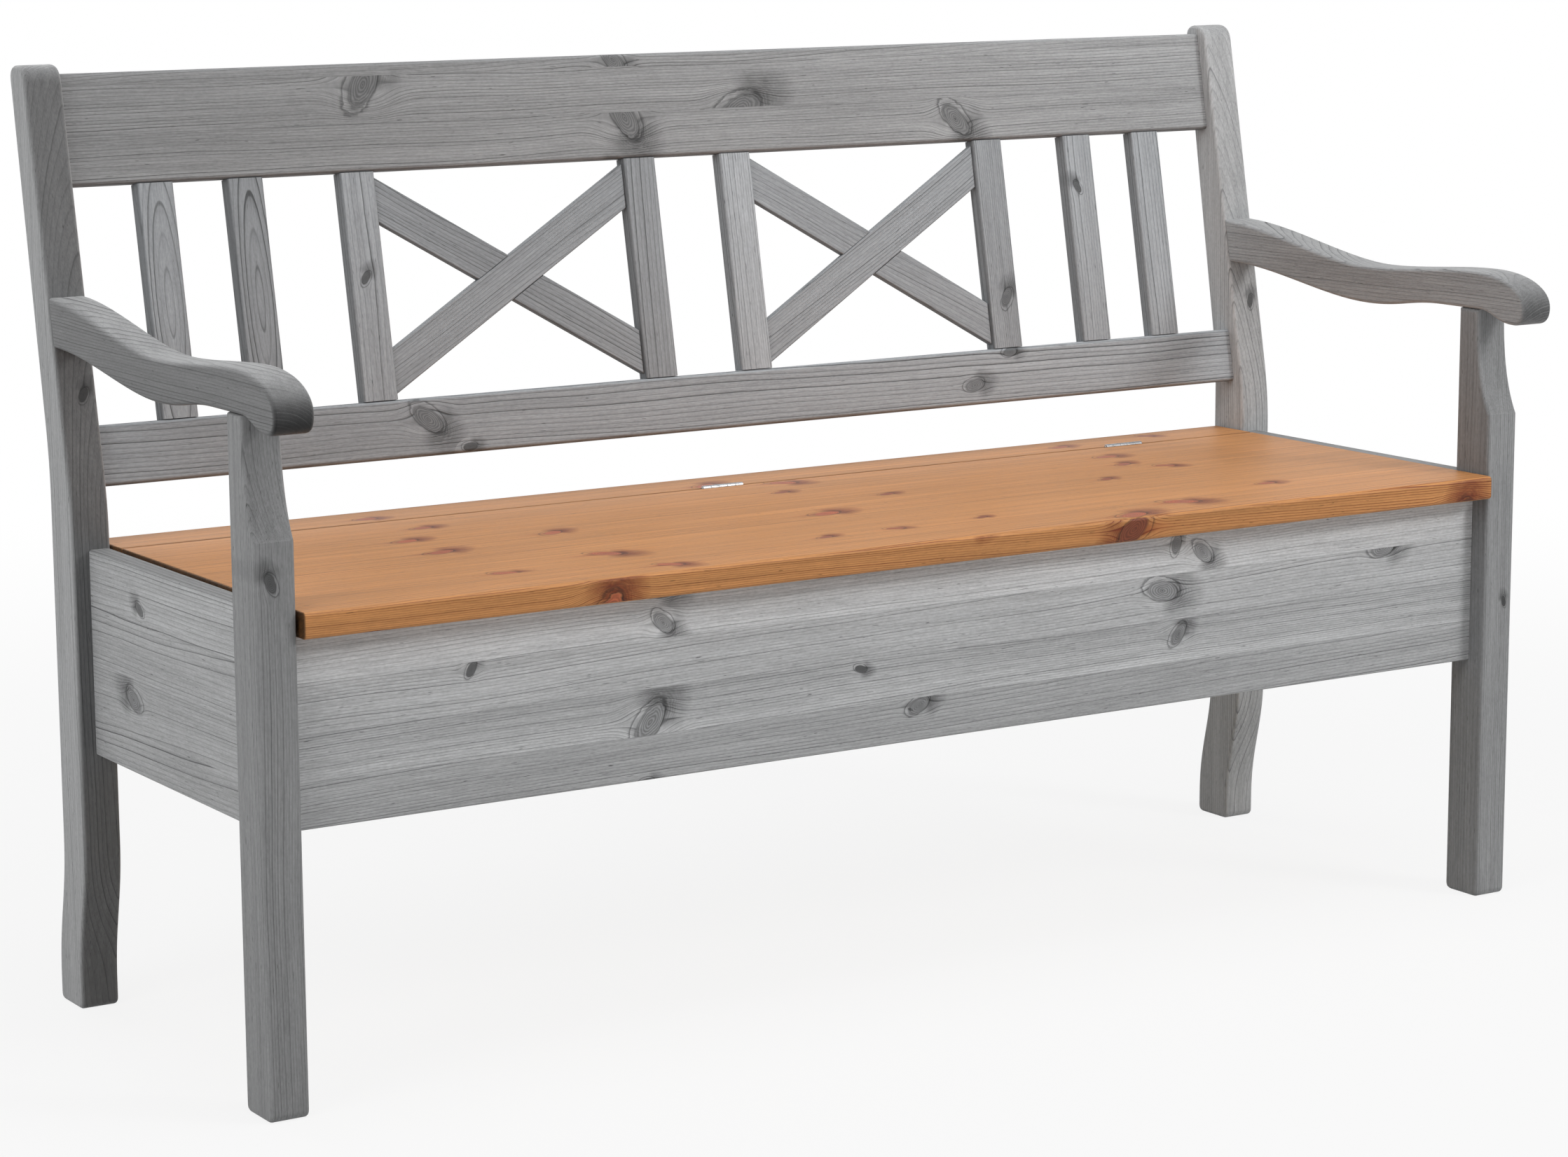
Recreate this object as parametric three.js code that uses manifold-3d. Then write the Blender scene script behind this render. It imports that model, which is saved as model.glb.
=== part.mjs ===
// Settle bench: a storage seat with a hinged lid, curved arms and a raked back with crossed braces.
// Millimetres, +Z up. The front faces -Y, and X runs along the seat from left to right.

import * as THREE from 'three';
import { RoundedBoxGeometry } from 'three/addons/geometries/RoundedBoxGeometry.js';
import { mergeVertices } from 'three/addons/utils/BufferGeometryUtils.js';
import Module from 'manifold-3d';

const wasm = await Module();
wasm.setup();

// Whole bench
const benchWidth = 1500;
const benchHeight = 938;
const seatHeight = 472;
const chestUnderside = 264;
const backRake = THREE.MathUtils.degToRad(11);

// Gaps between pieces, and how far a cut runs past the face it opens
const jointGap = 0.3;
const cutOverrun = 2;

// Posts
const postWidth = 40;
const frontPostDepth = 52;
const frontPostTopDepth = 30;
const rearPostSetback = 420;
const rearPostDepth = 54;
const rearPostTopDepth = 36;
const rearPostTopRadius = 17;
const footSweep = 19.5;
const footSweepTop = 180;
const footSweepBottom = 18;
const backBendAboveSeat = 37;
const backBendRearRise = 41;
const backBendEasing = 38;
const footCornerRadius = 8;

// Arms
const armHeight = 650;
const armThickness = 41;
const armRearThickness = 48;
const armRearRise = 17;
const armWaistDrop = 9.5;
const armNoseReach = 49;
const armNoseDrop = 12.5;
const armNoseRadius = 18;

// Backrest, measured up its slope from where the rear posts bend back
const railRecess = 13;
const railThickness = 19;
const lowerRailRise = 22.5;
const lowerRailHeight = 60.5;
const topRailHeight = 111.5;
const topRailDrop = 6.5;
const slatWidth = 39;
const slatThickness = 17;
const slatGapMiddle = 81;
const slatGapInner = 86;
const slatGapOuter = 59;
const slatGapEnd = 72.5;
const braceWidth = 40;
const braceThickness = 9;
const braceEndGap = 5.5;

// Chest
const panelThickness = 22;
const frontPanelSetback = 22.5;
const sidePanelRecess = 1;
const sidePanelTopDrop = 2;
const rearPanelInset = 8;
const rearPanelThickness = 20;
const bottomThickness = 12;
const bottomClearance = 1;
const cleatSize = 20;
const cleatRise = 6;

// Lid and the fixed strip behind it
const lidThickness = 25;
const lidOverhang = 10;
const lidEndClearance = 2.5;
const lidJointGap = 1.6;
const stripDepth = 68;
const stripRearInset = 6;
const battenWidth = 45;
const battenThickness = 20;
const battenEndInset = 277.5;
const battenFrontClearance = 18;
const battenRearClearance = 14;

// Hinges
const hingeLength = 50;
const hingeEndInset = 170.5;
const hingeRowOffset = -17;
const hingeBarrelRadius = 2.8;
const hingePinRadius = 1.2;
const hingePinClearance = 0.15;
const hingePinEnd = 0.8;
const hingeLeafThickness = 1.2;
const hingeLeafHeight = 18;
const hingeLeafSpace = 0.2;
const knuckleCount = 5;
const screwSpacing = 30;
const screwLength = 16;
const screwShankRadius = 1.5;
const screwHeadRadius = 2.8;
const screwHeadDepth = 1.4;
const screwTipLength = 3;

// Dowels that hold each arm
const dowelRadius = 5;
const dowelLength = 44;
const dowelEndGap = 0.8;

// Softened edges, and how finely the round shapes are divided
const postEasing = 4;
const railEasing = 4;
const slatEasing = 2.5;
const braceEasing = 1.5;
const panelEasing = 2.5;
const lidEasing = 4;
const lidJointEasing = 2;
const lidEndEasing = 1.5;
const easingSteps = 2;
const boardEasingSegments = 1;
const curveSteps = 6;
const barrelSides = 10;
const dowelSides = 10;
const screwSides = 8;

// Places worked out from the sizes above
const halfWidth = benchWidth / 2;
const innerHalfWidth = halfWidth - postWidth;
const postCentre = halfWidth - postWidth / 2;
const lidHalfLength = innerHalfWidth - lidEndClearance;
const lidUnderside = seatHeight - lidThickness;
const bendHeight = seatHeight + backBendAboveSeat;
const rakeSlope = Math.tan(backRake);
const rearFaceSetback = rearPostSetback + rearPostDepth;
const panelTop = lidUnderside - jointGap;
const frontPanelBack = frontPanelSetback + panelThickness;
const rearPanelBack = rearFaceSetback - rearPanelInset;
const rearPanelFront = rearPanelBack - rearPanelThickness;
const cleatBottom = chestUnderside + cleatRise;
const cleatTop = cleatBottom + cleatSize;
const stripRearEdge = rearFaceSetback - stripRearInset;
const lidBackSetback = stripRearEdge - stripDepth;
const lidRearEdge = lidBackSetback - lidJointGap / 2;
const stripFrontEdge = lidBackSetback + lidJointGap / 2;
const hingeAxisHeight = seatHeight;

// Colours and surfaces
const greyStainedPine = { color: 0x8f8f8e, roughness: 0.72, metalness: 0 };
const honeyStainedPine = { color: 0xb98866, roughness: 0.6, metalness: 0 };
const barePine = { color: 0xc8a880, roughness: 0.8, metalness: 0 };
const beech = { color: 0xc99b6a, roughness: 0.7, metalness: 0 };
const zincPlatedSteel = { color: 0xa9a9a6, roughness: 0.35, metalness: 1 };

const bench = new THREE.Group();

function addPiece(parent, name, geometry, finish, position = [0, 0, 0]) {
  const mesh = new THREE.Mesh(geometry, new THREE.MeshStandardMaterial(finish));
  mesh.name = name;
  mesh.position.set(...position);
  parent.add(mesh);
  return mesh;
}

// Solids for cutting and joining

function toSolid(geometry) {
  const bare = geometry.clone();
  bare.deleteAttribute('normal');
  bare.deleteAttribute('uv');
  const merged = mergeVertices(bare);
  const vertProperties = Float32Array.from(merged.attributes.position.array);
  const triVerts = Uint32Array.from(merged.index.array);
  return new wasm.Manifold(new wasm.Mesh({ numProp: 3, vertProperties, triVerts }));
}

function fromSolid(solid) {
  const { vertProperties, triVerts } = solid.getMesh();
  const geometry = new THREE.BufferGeometry();
  geometry.setAttribute('position', new THREE.BufferAttribute(Float32Array.from(vertProperties), 3));
  geometry.setIndex(new THREE.BufferAttribute(Uint32Array.from(triVerts), 1));
  geometry.computeVertexNormals();
  return geometry;
}

function cut(geometry, cutters) {
  const solid = cutters.reduce((left, cutter) => left.subtract(toSolid(cutter)), toSolid(geometry));
  return fromSolid(solid);
}

function join(geometries) {
  const [first, ...rest] = geometries.map(toSolid);
  return fromSolid(rest.reduce((whole, piece) => whole.add(piece), first));
}

// Basic shapes

// A shape extruded to a thickness with its rims rounded inwards, centred on its own plane
function easedExtrusion(shape, thickness, easing, steps = easingSteps) {
  const geometry = new THREE.ExtrudeGeometry(shape, {
    depth: thickness - 2 * easing,
    bevelEnabled: easing > 0,
    bevelThickness: easing,
    bevelSize: easing,
    bevelOffset: -easing,
    bevelSegments: steps,
    curveSegments: curveSteps,
    steps: 1,
  });
  return geometry.translate(0, 0, easing - thickness / 2);
}

// Turns an outline drawn as (Y, Z) and extruded along its own Z into one that runs along X
function acrossBench(geometry) {
  const turn = new THREE.Matrix4().makeBasis(
    new THREE.Vector3(0, 1, 0),
    new THREE.Vector3(0, 0, 1),
    new THREE.Vector3(1, 0, 0),
  );
  return geometry.applyMatrix4(turn);
}

// Rectangle centred on the origin with a radius for each side's pair of corners
function softRectangle(width, height, leftRadius, rightRadius) {
  const right = width / 2;
  const top = height / 2;
  const corners = [
    [right, -top, rightRadius, -Math.PI / 2],
    [right, top, rightRadius, 0],
    [-right, top, leftRadius, Math.PI / 2],
    [-right, -top, leftRadius, Math.PI],
  ];
  const outline = [];
  for (const [x, y, radius, start] of corners) {
    const centreX = x - Math.sign(x) * radius;
    const centreY = y - Math.sign(y) * radius;
    for (let step = 0; step <= easingSteps; step += 1) {
      const angle = start + (step / easingSteps) * (Math.PI / 2);
      outline.push(new THREE.Vector2(centreX + radius * Math.cos(angle), centreY + radius * Math.sin(angle)));
    }
  }
  return new THREE.Shape(outline);
}

// A board with all its edges softened
function easedBoard(width, depth, height, easing) {
  return new RoundedBoxGeometry(width, depth, height, boardEasingSegments, easing);
}

function boxBetween(low, high) {
  const size = high.map((value, axis) => value - low[axis]);
  const centre = high.map((value, axis) => (value + low[axis]) / 2);
  return new THREE.BoxGeometry(...size).translate(...centre);
}

function rodAlongX(radius, length, sides) {
  return new THREE.CylinderGeometry(radius, radius, length, sides).rotateZ(Math.PI / 2);
}

const at = (y, z) => new THREE.Vector2(y, z);

// Rear posts: one plank each, swept back at the foot and raked above the seat

// How far the foot's curve has swept back, from 0 at its top to 1 at its bottom
const footCurveShares = [
  [0.12, 0.02],
  [0.3, 0.15],
  [0.5, 0.5],
  [0.7, 0.85],
  [0.88, 0.98],
];

function footCurve(faceSetback) {
  const drop = footSweepTop - footSweepBottom;
  return footCurveShares.map(([down, back]) => {
    return at(faceSetback + back * footSweep, footSweepTop - down * drop);
  });
}

function postFrontAt(height) {
  return rearPostSetback + (height - bendHeight) * rakeSlope;
}

function rearPostOutline() {
  const front = rearPostSetback;
  const back = rearFaceSetback;
  const topFront = postFrontAt(benchHeight);
  const rearBendHeight = bendHeight + backBendRearRise;
  const footFront = front + footSweep;
  const footBack = back + footSweep;
  const corner = (point, easing) => ({ point, easing });
  const shape = new THREE.Shape();
  const upper = [
    corner(at(back, rearBendHeight), backBendEasing),
    corner(at(topFront + rearPostTopDepth, benchHeight), rearPostTopRadius),
    corner(at(topFront, benchHeight), rearPostTopRadius),
    corner(at(front, bendHeight), backBendEasing),
  ];
  shape.moveTo(footFront + footCornerRadius, 0);
  shape.lineTo(footBack - footCornerRadius, 0);
  shape.quadraticCurveTo(footBack, 0, footBack, footCornerRadius);
  shape.lineTo(footBack, footSweepBottom);
  footCurve(back).reverse().forEach((point) => shape.lineTo(point.x, point.y));
  shape.lineTo(back, footSweepTop);
  upper.forEach(({ point, easing }, index) => {
    const before = index === 0 ? at(back, footSweepTop) : upper[index - 1].point;
    const after = index === upper.length - 1 ? at(front, footSweepTop) : upper[index + 1].point;
    const enter = point.clone().add(before.clone().sub(point).setLength(easing));
    const leave = point.clone().add(after.clone().sub(point).setLength(easing));
    shape.lineTo(enter.x, enter.y);
    shape.quadraticCurveTo(point.x, point.y, leave.x, leave.y);
  });
  shape.lineTo(front, footSweepTop);
  footCurve(front).forEach((point) => shape.lineTo(point.x, point.y));
  shape.lineTo(footFront, footSweepBottom);
  shape.lineTo(footFront, footCornerRadius);
  shape.quadraticCurveTo(footFront, 0, footFront + footCornerRadius, 0);
  return shape;
}

// Front posts: square below, with the front face cut back in a hollow curve under the arm

// Where that curve starts and ends, as shares of the rise from seat to arm
const kneeShare = 0.365;
const hollowEndShare = 0.584;

function frontPostOutline() {
  const top = armHeight - jointGap;
  const knee = seatHeight + kneeShare * (armHeight - seatHeight);
  const hollowEnd = seatHeight + hollowEndShare * (armHeight - seatHeight);
  const setback = frontPostDepth - frontPostTopDepth;
  const shape = new THREE.Shape();
  shape.moveTo(footCornerRadius, 0);
  shape.lineTo(frontPostDepth - footCornerRadius, 0);
  shape.quadraticCurveTo(frontPostDepth, 0, frontPostDepth, footCornerRadius);
  shape.lineTo(frontPostDepth, top);
  shape.lineTo(setback, top);
  shape.quadraticCurveTo(setback, hollowEnd, 0, knee);
  shape.lineTo(0, footCornerRadius);
  shape.quadraticCurveTo(0, 0, footCornerRadius, 0);
  return shape;
}

// Arms: a level front over the post, a shallow dip, and a rise to the rear post

// Where the arm's curves turn, as shares of the distance from front face to rear post
const armWaistShare = 0.49;
const armCrestShare = 0.08;
const armSeatEndShare = 0.2;
const armCurveShares = { rear: 0.33, rearDrop: 0.1, waistRear: 0.3, waistFront: 0.32, crest: 0.3 };
const armNoseShares = { crestPull: 0.6, frontPull: 0.6, seatPull: 0.35, undersidePull: 0.5 };

function armOutline() {
  const rearTopHeight = armHeight + armRearRise + armRearThickness;
  const rearBottomHeight = armHeight + armRearRise;
  const rearTop = at(postFrontAt(rearTopHeight) - jointGap, rearTopHeight);
  const rearBottom = at(postFrontAt(rearBottomHeight) - jointGap, rearBottomHeight);
  const crest = at(armCrestShare * rearPostSetback, armHeight + armThickness);
  const waist = at(armWaistShare * rearPostSetback, crest.y - armWaistDrop);
  const waistUnder = at(waist.x, armHeight - armWaistDrop);
  const seatFront = at(frontPostDepth - frontPostTopDepth, armHeight);
  const seatEnd = at(armSeatEndShare * rearPostSetback, armHeight);
  const noseUnder = at(armNoseRadius - armNoseReach, armHeight - armNoseDrop);
  const noseTip = at(-armNoseReach, noseUnder.y + armNoseRadius);
  const rearRun = rearTop.x - waist.x;
  const frontRun = waist.x - crest.x;
  const noseRun = crest.x - noseTip.x;
  const noseRise = crest.y - noseTip.y;
  const underRun = seatFront.x - noseUnder.x;
  const shares = armCurveShares;
  const nose = armNoseShares;
  const shape = new THREE.Shape();
  shape.moveTo(rearTop.x, rearTop.y);
  shape.bezierCurveTo(
    rearTop.x - shares.rear * rearRun, rearTop.y - shares.rearDrop * armRearRise,
    waist.x + shares.waistRear * rearRun, waist.y,
    waist.x, waist.y,
  );
  shape.bezierCurveTo(
    waist.x - shares.waistFront * frontRun, waist.y,
    crest.x + shares.crest * frontRun, crest.y,
    crest.x, crest.y,
  );
  shape.bezierCurveTo(
    crest.x - nose.crestPull * noseRun, crest.y,
    noseTip.x, noseTip.y + nose.frontPull * noseRise,
    noseTip.x, noseTip.y,
  );
  shape.quadraticCurveTo(noseTip.x, noseUnder.y, noseUnder.x, noseUnder.y);
  shape.bezierCurveTo(
    noseUnder.x + nose.undersidePull * underRun, noseUnder.y,
    seatFront.x - nose.seatPull * underRun, seatFront.y,
    seatFront.x, seatFront.y,
  );
  shape.lineTo(seatEnd.x, seatEnd.y);
  shape.bezierCurveTo(
    seatEnd.x + shares.crest * frontRun, seatEnd.y,
    waistUnder.x - shares.waistFront * frontRun, waistUnder.y,
    waistUnder.x, waistUnder.y,
  );
  shape.bezierCurveTo(
    waistUnder.x + shares.waistRear * rearRun, waistUnder.y,
    rearBottom.x - shares.rear * rearRun, rearBottom.y,
    rearBottom.x, rearBottom.y,
  );
  return shape;
}

// Dowels: one up through each front post into the arm, one from the rear post into the arm's end
const frontDowelSetback = frontPostDepth - frontPostTopDepth / 2;
const rearDowelHeight = armHeight + armRearRise + armRearThickness / 2;
const rearDowelSetback = postFrontAt(rearDowelHeight);

function frontDowel(radius, length) {
  const rod = new THREE.CylinderGeometry(radius, radius, length, dowelSides).rotateX(Math.PI / 2);
  return rod.translate(0, frontDowelSetback, armHeight);
}

function rearDowel(radius, length) {
  const rod = new THREE.CylinderGeometry(radius, radius, length, dowelSides);
  return rod.rotateX(-backRake).translate(0, rearDowelSetback, rearDowelHeight);
}

const dowelHoleRadius = dowelRadius + jointGap;
const dowelHoleLength = dowelLength + 2 * dowelEndGap;
const frontDowelHole = frontDowel(dowelHoleRadius, dowelHoleLength);
const rearDowelHole = rearDowel(dowelHoleRadius, dowelHoleLength);
const plank = (outline) => acrossBench(easedExtrusion(outline, postWidth, postEasing));
const rearPost = cut(plank(rearPostOutline()), [rearDowelHole]);
const frontPost = cut(plank(frontPostOutline()), [frontDowelHole]);
const arm = cut(plank(armOutline()), [frontDowelHole, rearDowelHole]);

for (const [side, x] of [['left', -postCentre], ['right', postCentre]]) {
  addPiece(bench, `rear_post_${side}`, rearPost, greyStainedPine, [x, 0, 0]);
  addPiece(bench, `front_post_${side}`, frontPost, greyStainedPine, [x, 0, 0]);
  addPiece(bench, `arm_${side}`, arm, greyStainedPine, [x, 0, 0]);
  addPiece(bench, `arm_front_dowel_${side}`, frontDowel(dowelRadius, dowelLength), beech, [x, 0, 0]);
  addPiece(bench, `arm_rear_dowel_${side}`, rearDowel(dowelRadius, dowelLength), beech, [x, 0, 0]);
}

// Backrest: rails, slats and crossed braces in one raked plane between the rear posts
const backrest = new THREE.Group();
backrest.position.set(0, rearPostSetback, bendHeight);
backrest.rotation.x = -backRake;
bench.add(backrest);

const railLength = 2 * (innerHalfWidth - jointGap);
const railMiddle = railRecess + railThickness / 2;
const slatFoot = lowerRailRise + lowerRailHeight;
const slatHead = (benchHeight - bendHeight) / Math.cos(backRake) - topRailDrop - topRailHeight;
const slatLength = slatHead - slatFoot;
const slatMiddleHeight = (slatFoot + slatHead) / 2;
const lowerRailMiddle = slatFoot - lowerRailHeight / 2;
const topRailMiddle = slatHead + topRailHeight / 2;

const lowerRail = easedBoard(railLength, railThickness, lowerRailHeight, railEasing);
const topRail = easedBoard(railLength, railThickness, topRailHeight, railEasing);
addPiece(backrest, 'lower_back_rail', lowerRail, greyStainedPine, [0, railMiddle, lowerRailMiddle]);
addPiece(backrest, 'top_rail', topRail, greyStainedPine, [0, railMiddle, topRailMiddle]);

// Four slats stand each side of the middle; the braces cross in the wide gap that the others leave
const narrowGaps = slatGapMiddle / 2 + slatGapInner + slatGapOuter + slatGapEnd;
const slatGapBraced = innerHalfWidth - narrowGaps - 4 * slatWidth;
const slatCentres = [slatGapMiddle / 2 + slatWidth / 2];
for (const gap of [slatGapBraced, slatGapInner, slatGapOuter]) {
  slatCentres.push(slatCentres.at(-1) + slatWidth + gap);
}
const slatPlaces = [...slatCentres.map((x) => -x).reverse(), ...slatCentres];
const slat = easedBoard(slatWidth, slatThickness, slatLength - 2 * jointGap, slatEasing);
slatPlaces.forEach((x, index) => {
  addPiece(backrest, `back_slat_${index + 1}`, slat, greyStainedPine, [x, railMiddle, slatMiddleHeight]);
});

// A brace rises from the foot of one slat to the head of the next, with upright ends
const braceRun = slatGapBraced - 2 * jointGap;
const braceRise = slatLength - 2 * braceEndGap;
const braceSlope = (() => {
  const diagonal = Math.sqrt(braceRun ** 2 + braceRise ** 2 - braceWidth ** 2);
  return (braceRise * braceRun - braceWidth * diagonal) / (braceRun ** 2 - braceWidth ** 2);
})();

function braceBand(extraWidth, extraRun) {
  const upright = (braceWidth + extraWidth) * Math.sqrt(1 + braceSlope ** 2) / 2;
  const reach = braceRun / 2 + extraRun;
  const climb = reach * braceSlope;
  return new THREE.Shape([
    at(-reach, -climb - upright),
    at(reach, climb - upright),
    at(reach, climb + upright),
    at(-reach, upright - climb),
  ]);
}

// A band stood up in the backrest's plane, turned about to fall instead of rise
function stoodUp(geometry, falling) {
  geometry.rotateX(Math.PI / 2);
  return falling ? geometry.rotateZ(Math.PI) : geometry;
}

// Each brace is halved where the other crosses it: the rising one behind, the falling one in front
function brace(falling) {
  const body = stoodUp(easedExtrusion(braceBand(0, 0), braceThickness, braceEasing, 1), falling);
  const notchDepth = braceThickness / 2 + cutOverrun;
  const notch = stoodUp(easedExtrusion(braceBand(2 * jointGap, cutOverrun), notchDepth, 0), !falling);
  const shift = (notchDepth - jointGap) / 2;
  return cut(body, [notch.translate(0, falling ? -shift : shift, 0)]);
}

const risingBrace = brace(false);
const fallingBrace = brace(true);
const braceBay = slatGapMiddle / 2 + slatWidth + slatGapBraced / 2;
for (const [side, x] of [['left', -braceBay], ['right', braceBay]]) {
  const place = [x, railMiddle, slatMiddleHeight];
  addPiece(backrest, `brace_rising_${side}`, risingBrace, greyStainedPine, place);
  addPiece(backrest, `brace_falling_${side}`, fallingBrace, greyStainedPine, place);
}

// Chest: panels between the posts, and a bottom board on cleats
const panelHeight = panelTop - chestUnderside;
const panelMiddle = (panelTop + chestUnderside) / 2;
const frontPanelY = frontPanelBack - panelThickness / 2;
const rearPanelY = rearPanelBack - rearPanelThickness / 2;
const frontPanel = easedBoard(railLength, panelThickness, panelHeight, panelEasing);
const rearPanel = easedBoard(railLength, rearPanelThickness, panelHeight, panelEasing);
addPiece(bench, 'front_panel', frontPanel, greyStainedPine, [0, frontPanelY, panelMiddle]);
addPiece(bench, 'rear_panel', rearPanel, greyStainedPine, [0, rearPanelY, panelMiddle]);

const sidePanelHeight = seatHeight - sidePanelTopDrop - chestUnderside;
const sidePanelRun = rearPostSetback - frontPostDepth - 2 * jointGap;
const sidePanelX = innerHalfWidth + sidePanelRecess + panelThickness / 2;
const sidePanelY = (rearPostSetback + frontPostDepth) / 2;
const sidePanel = easedBoard(panelThickness, sidePanelRun, sidePanelHeight, panelEasing);
const cleatInner = innerHalfWidth - jointGap;
const frontCleatBack = frontPanelBack + jointGap + cleatSize;
const rearCleatFront = rearPanelFront - jointGap - cleatSize;
for (const [side, sign] of [['left', -1], ['right', 1]]) {
  const height = chestUnderside + sidePanelHeight / 2;
  addPiece(bench, `side_panel_${side}`, sidePanel, greyStainedPine, [sign * sidePanelX, sidePanelY, height]);
  const run = rearCleatFront - frontCleatBack - 2 * jointGap;
  const cleat = new THREE.BoxGeometry(cleatSize, run, cleatSize);
  const x = sign * (cleatInner - cleatSize / 2);
  const y = (rearCleatFront + frontCleatBack) / 2;
  addPiece(bench, `bottom_cleat_${side}`, cleat, barePine, [x, y, cleatBottom + cleatSize / 2]);
}

const longCleat = [
  ['front', frontPanelBack + jointGap, frontCleatBack],
  ['rear', rearCleatFront, rearPanelFront - jointGap],
];
for (const [end, from, to] of longCleat) {
  const cleat = boxBetween([-cleatInner, from, cleatBottom], [cleatInner, to, cleatTop]);
  addPiece(bench, `bottom_cleat_${end}`, cleat, barePine);
}

const bottomReach = innerHalfWidth - bottomClearance;
const bottomBoard = boxBetween(
  [-bottomReach, frontPanelBack + bottomClearance, cleatTop + jointGap],
  [bottomReach, rearPanelFront - bottomClearance, cleatTop + jointGap + bottomThickness],
);
addPiece(bench, 'bottom_board', bottomBoard, barePine);

// Hinges: each has a leaf let into the lid's back edge and one in the strip, on a loose pin

function turnedAlongY(profile) {
  return new THREE.LatheGeometry(profile.map((point) => new THREE.Vector2(...point)), screwSides);
}

// A countersunk screw pointing along +Y, with the face of its head at Y 0
function screwAlongY() {
  return turnedAlongY([
    [0, 0],
    [screwHeadRadius, 0],
    [screwShankRadius, screwHeadDepth],
    [screwShankRadius, screwLength - screwTipLength],
    [0, screwLength],
  ]);
}

// The hole for that screw, begun a little in front of its head where a cut has to break through
function screwHole(lead) {
  const headRadius = screwHeadRadius + jointGap;
  const shankRadius = screwShankRadius + jointGap;
  return turnedAlongY([
    [0, -lead],
    [headRadius, -lead],
    [headRadius, jointGap],
    [shankRadius, screwHeadDepth + jointGap],
    [shankRadius, screwLength - screwTipLength + jointGap],
    [0, screwLength + jointGap],
  ]);
}

const leafDistance = hingeLeafSpace / 2;
const leafTop = hingeAxisHeight - hingeBarrelRadius - jointGap;
const barrelRecessRadius = hingeBarrelRadius + jointGap;
const leafBottom = leafTop - hingeLeafHeight;
const screwHeight = (leafTop + leafBottom) / 2;
const knuckleLength = hingeLength / knuckleCount;
const hingeSpacing = lidHalfLength - hingeEndInset;
const hingePlaces = {
  left: hingeRowOffset - hingeSpacing,
  middle: hingeRowOffset,
  right: hingeRowOffset + hingeSpacing,
};
const screwPlaces = [-screwSpacing / 2, screwSpacing / 2];

// Towards is -1 for the leaf on the lid and 1 for the leaf on the strip
function placeScrew(geometry, towards, x) {
  const turned = towards < 0 ? geometry.rotateZ(Math.PI) : geometry;
  return turned.translate(x, lidBackSetback + towards * leafDistance, screwHeight);
}

function knuckleEnds(knuckle) {
  const low = knuckle * knuckleLength - hingeLength / 2;
  const lowGap = knuckle > 0 ? jointGap / 2 : 0;
  const highGap = knuckle < knuckleCount - 1 ? jointGap / 2 : 0;
  return [low + lowGap, low + knuckleLength - highGap];
}

// The strip's leaf has the outer knuckles, and each leaf has every other one
function hingeLeaf(towards) {
  const near = lidBackSetback + towards * leafDistance;
  const far = near + towards * hingeLeafThickness;
  const [front, back] = [Math.min(near, far), Math.max(near, far)];
  const pieces = [boxBetween([-hingeLength / 2, front, leafBottom], [hingeLength / 2, back, leafTop])];
  for (let knuckle = towards > 0 ? 0 : 1; knuckle < knuckleCount; knuckle += 2) {
    const [low, high] = knuckleEnds(knuckle);
    const barrel = rodAlongX(hingeBarrelRadius, high - low, barrelSides);
    pieces.push(barrel.translate((low + high) / 2, lidBackSetback, hingeAxisHeight));
    pieces.push(boxBetween([low, front, screwHeight], [high, back, hingeAxisHeight]));
  }
  const bore = rodAlongX(hingePinRadius + hingePinClearance, hingeLength + 2 * cutOverrun, barrelSides);
  const holes = screwPlaces.map((x) => placeScrew(screwHole(cutOverrun), towards, x));
  return cut(join(pieces), [bore.translate(0, lidBackSetback, hingeAxisHeight), ...holes]);
}

// The recess and screw holes that one leaf needs in the edge it is fixed to
function leafRecess(towards, x) {
  const outer = lidBackSetback + towards * (leafDistance + hingeLeafThickness + jointGap);
  const low = [x - hingeLength / 2 - jointGap, Math.min(lidBackSetback, outer), leafBottom - jointGap];
  const high = [x + hingeLength / 2 + jointGap, Math.max(lidBackSetback, outer), seatHeight + cutOverrun];
  const holes = screwPlaces.map((place) => placeScrew(screwHole(0), towards, x + place));
  const groove = rodAlongX(barrelRecessRadius, high[0] - low[0], barrelSides);
  return [boxBetween(low, high), groove.translate(x, lidBackSetback, hingeAxisHeight), ...holes];
}

const leafOnLid = hingeLeaf(-1);
const leafOnStrip = hingeLeaf(1);
const pinLength = hingeLength + 2 * hingePinEnd;
for (const [place, x] of Object.entries(hingePlaces)) {
  const pin = rodAlongX(hingePinRadius, pinLength, barrelSides);
  addPiece(bench, `hinge_${place}_lid_leaf`, leafOnLid, zincPlatedSteel, [x, 0, 0]);
  addPiece(bench, `hinge_${place}_strip_leaf`, leafOnStrip, zincPlatedSteel, [x, 0, 0]);
  addPiece(bench, `hinge_${place}_pin`, pin, zincPlatedSteel, [x, lidBackSetback, hingeAxisHeight]);
  screwPlaces.forEach((screwX, index) => {
    for (const [wood, towards] of [['lid', -1], ['strip', 1]]) {
      const screw = placeScrew(screwAlongY(), towards, screwX);
      addPiece(bench, `hinge_${place}_${wood}_screw_${index + 1}`, screw, zincPlatedSteel, [x, 0, 0]);
    }
  });
}

// Seat: the lid with two battens beneath it, and the fixed strip that it is hinged to
function seatBoard(front, back, frontEasing, backEasing) {
  const section = softRectangle(back - front, lidThickness, frontEasing, backEasing);
  const board = acrossBench(easedExtrusion(section, 2 * lidHalfLength, lidEndEasing));
  return board.translate(0, (front + back) / 2, seatHeight - lidThickness / 2);
}

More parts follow.
